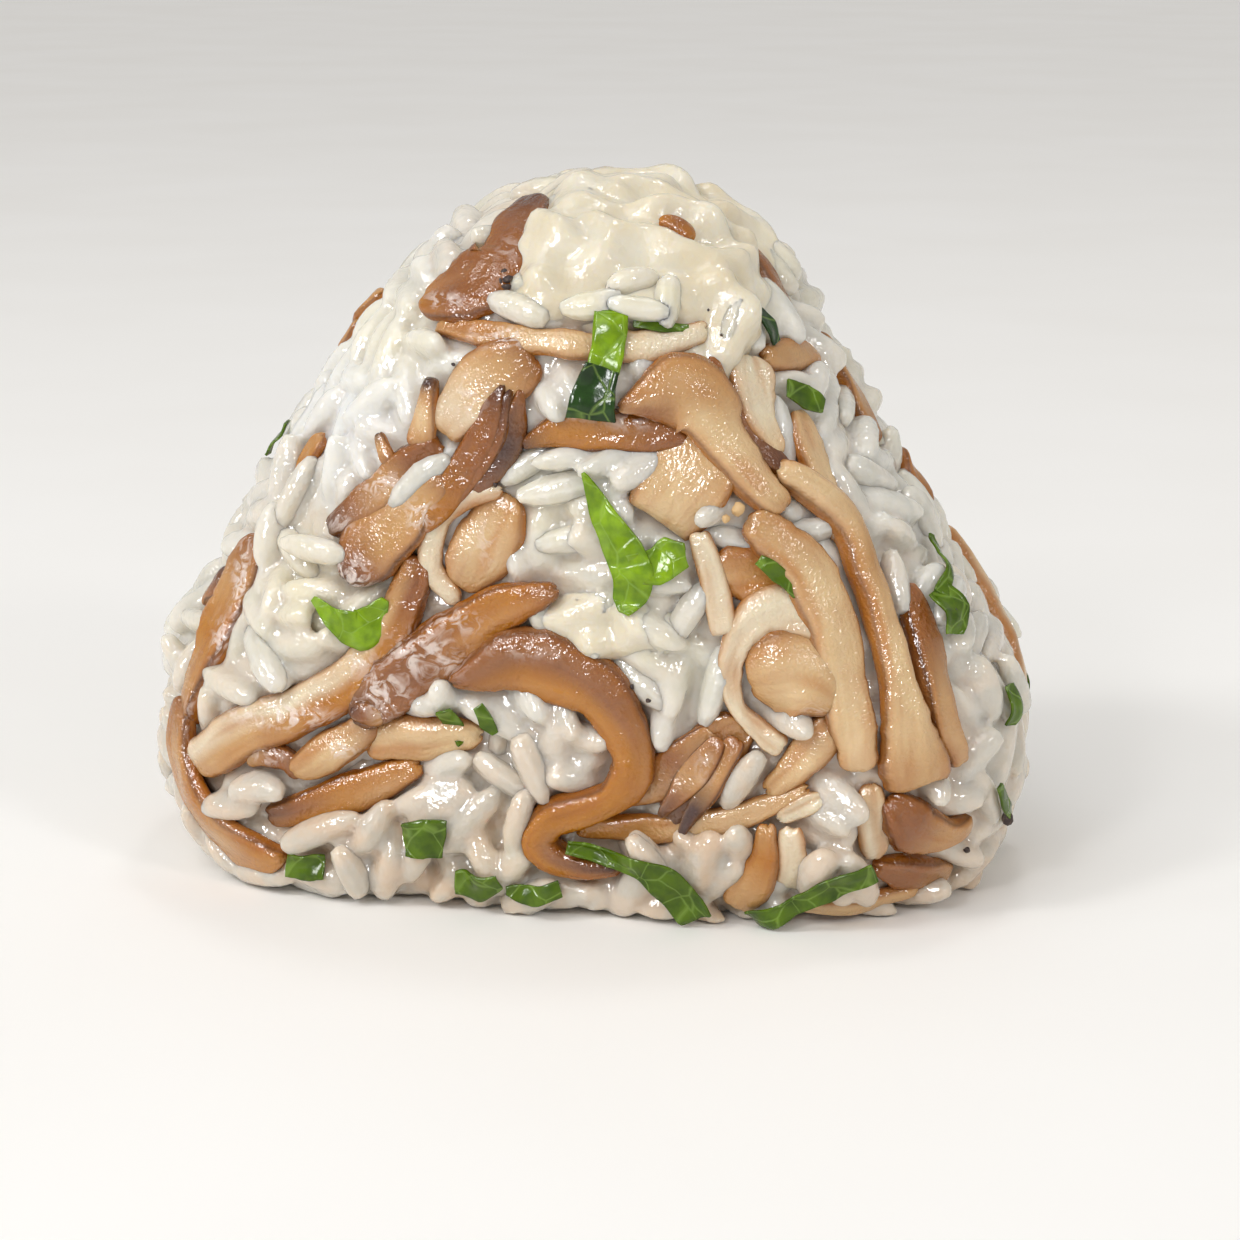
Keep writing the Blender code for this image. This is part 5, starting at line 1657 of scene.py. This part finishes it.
# A broad, even light from one side
WINDOW_PLACE = (-0.3, -0.5, 0.8)
WINDOW_SPREAD = math.radians(40.0)
WINDOW_STRENGTH = 0.7
SKY_STRENGTH = 0.6
FLOOR_HALF = 6.0
SENSOR = 36.0


def aimed(made, place, target):
    """Put a lamp or camera at a place, turned to a target."""
    made.location = place
    made.rotation_euler = (Vector(target) - Vector(place)).to_track_quat("-Z", "Y").to_euler()
    return made


def area_lamp(target, name, place, size, power, colour):
    """A soft square lamp."""
    light = bpy.data.lights.new(name, "AREA")
    light.shape = "SQUARE"
    light.size = size
    light.energy = power
    light.color = colour
    return aimed(new_object(name, light), place, target)


def window_light(target):
    """The light that falls in from one side."""
    light = bpy.data.lights.new("window", "SUN")
    light.angle = WINDOW_SPREAD
    light.energy = WINDOW_STRENGTH
    aimed(new_object("window", light), WINDOW_PLACE, target)


def sky_light():
    """Even, pale light from all round."""
    world = bpy.data.worlds.new("studio")
    world.use_nodes = True
    sky = world.node_tree.nodes["Background"]
    sky.inputs["Color"].default_value = (*rgb(238, 236, 233), 1.0)
    sky.inputs["Strength"].default_value = SKY_STRENGTH
    bpy.context.scene.world = world


def view_from(target):
    """The camera, at the angles and the distance of the settings."""
    stage = bpy.context.scene.rice_ball_stage
    azimuth, elevation = stage.azimuth, stage.elevation
    back = Vector((
        math.sin(azimuth) * math.cos(elevation),
        -math.cos(azimuth) * math.cos(elevation),
        math.sin(elevation)))
    right = Vector((math.cos(azimuth), math.sin(azimuth), 0.0))
    target = Vector(target) + right * TARGET_ASIDE * MM
    lens = bpy.data.cameras.new("camera")
    lens.lens = stage.lens
    lens.sensor_width = SENSOR
    lens.clip_start = 0.01
    camera = new_object("camera", lens)
    bpy.context.scene.camera = aimed(camera, target + back * stage.distance, target)


def make_stage():
    """Floor, soft light and camera."""
    mesh = shaped(
        "floor", bmesh.ops.create_grid, x_segments=2, y_segments=2, size=FLOOR_HALF)
    mesh.materials.append(floor_finish())
    new_object("floor", mesh)
    target = (0.0, 0.0, TARGET_HEIGHT * MM)
    for lamp in LAMPS:
        area_lamp(target, *lamp)
    window_light(target)
    area_lamp(target, *CARD).visible_diffuse = False
    sky_light()
    bpy.context.scene.view_settings.view_transform = "Standard"
    view_from(target)


# ------------------------------------------------------------------ operators
class RICEBALL_OT_mushrooms(bpy.types.Operator):
    """Model every mushroom piece on its place"""

    bl_idname = "rice_ball.mushrooms"
    bl_label = "Mushroom Pieces"

    def execute(self, context):
        make_mushrooms()
        return {"FINISHED"}


class RICEBALL_OT_grains(bpy.types.Operator):
    """Settle the rice grains round the mushroom"""

    bl_idname = "rice_ball.grains"
    bl_label = "Rice Grains"

    def execute(self, context):
        make_grains()
        return {"FINISHED"}


class RICEBALL_OT_core(bpy.types.Operator):
    """Fill the rice ball under its grains"""

    bl_idname = "rice_ball.core"
    bl_label = "Sticky Core"

    def execute(self, context):
        make_core()
        return {"FINISHED"}


class RICEBALL_OT_cheese(bpy.types.Operator):
    """Lay melted cheese over the grains"""

    bl_idname = "rice_ball.cheese"
    bl_label = "Melted Cheese"

    def execute(self, context):
        make_cheese()
        return {"FINISHED"}


class RICEBALL_OT_leaves(bpy.types.Operator):
    """Scatter the cut herb leaves"""

    bl_idname = "rice_ball.leaves"
    bl_label = "Herb Leaves"

    def execute(self, context):
        make_leaves()
        return {"FINISHED"}


class RICEBALL_OT_specks(bpy.types.Operator):
    """Sprinkle pepper and garlic crumbs"""

    bl_idname = "rice_ball.specks"
    bl_label = "Pepper and Garlic"

    def execute(self, context):
        make_specks()
        return {"FINISHED"}


class RICEBALL_OT_stage(bpy.types.Operator):
    """Set up the floor, the light and the camera"""

    bl_idname = "rice_ball.stage"
    bl_label = "Stage"

    def execute(self, context):
        make_stage()
        return {"FINISHED"}


class RICEBALL_PT_panel(bpy.types.Panel):
    """Sizes, colours and steps of the rice ball"""

    bl_idname = "RICEBALL_PT_panel"
    bl_label = "Rice Ball"
    bl_space_type = "VIEW_3D"
    bl_region_type = "UI"
    bl_category = "Rice Ball"

    def draw(self, context):
        column = self.layout.column()
        for name in SETTINGS:
            group = getattr(context.scene, name)
            for setting in group.__annotations__:
                column.prop(group, setting)
        for operator in OPERATORS:
            column.operator(operator.bl_idname)


SETTINGS = {
    "rice_ball_rice": RiceSettings,
    "rice_ball_mushroom": MushroomSettings,
    "rice_ball_garnish": GarnishSettings,
    "rice_ball_stage": StageSettings,
}
OPERATORS = (
    RICEBALL_OT_mushrooms,
    RICEBALL_OT_grains,
    RICEBALL_OT_core,
    RICEBALL_OT_cheese,
    RICEBALL_OT_leaves,
    RICEBALL_OT_specks,
    RICEBALL_OT_stage,
)


def register():
    """Add the settings, operators and panel."""
    for name, group in SETTINGS.items():
        bpy.utils.register_class(group)
        setattr(bpy.types.Scene, name, PointerProperty(type=group))
    for kind in (*OPERATORS, RICEBALL_PT_panel):
        bpy.utils.register_class(kind)


def unregister():
    """Remove the panel, operators and settings."""
    for kind in (RICEBALL_PT_panel, *reversed(OPERATORS)):
        bpy.utils.unregister_class(kind)
    for name, group in reversed(SETTINGS.items()):
        delattr(bpy.types.Scene, name)
        bpy.utils.unregister_class(group)


def main():
    """Dress the rice ball."""
    register()
    for operator in OPERATORS:
        group, step = operator.bl_idname.split(".")
        getattr(getattr(bpy.ops, group), step)()


if __name__ == "__main__":
    main()
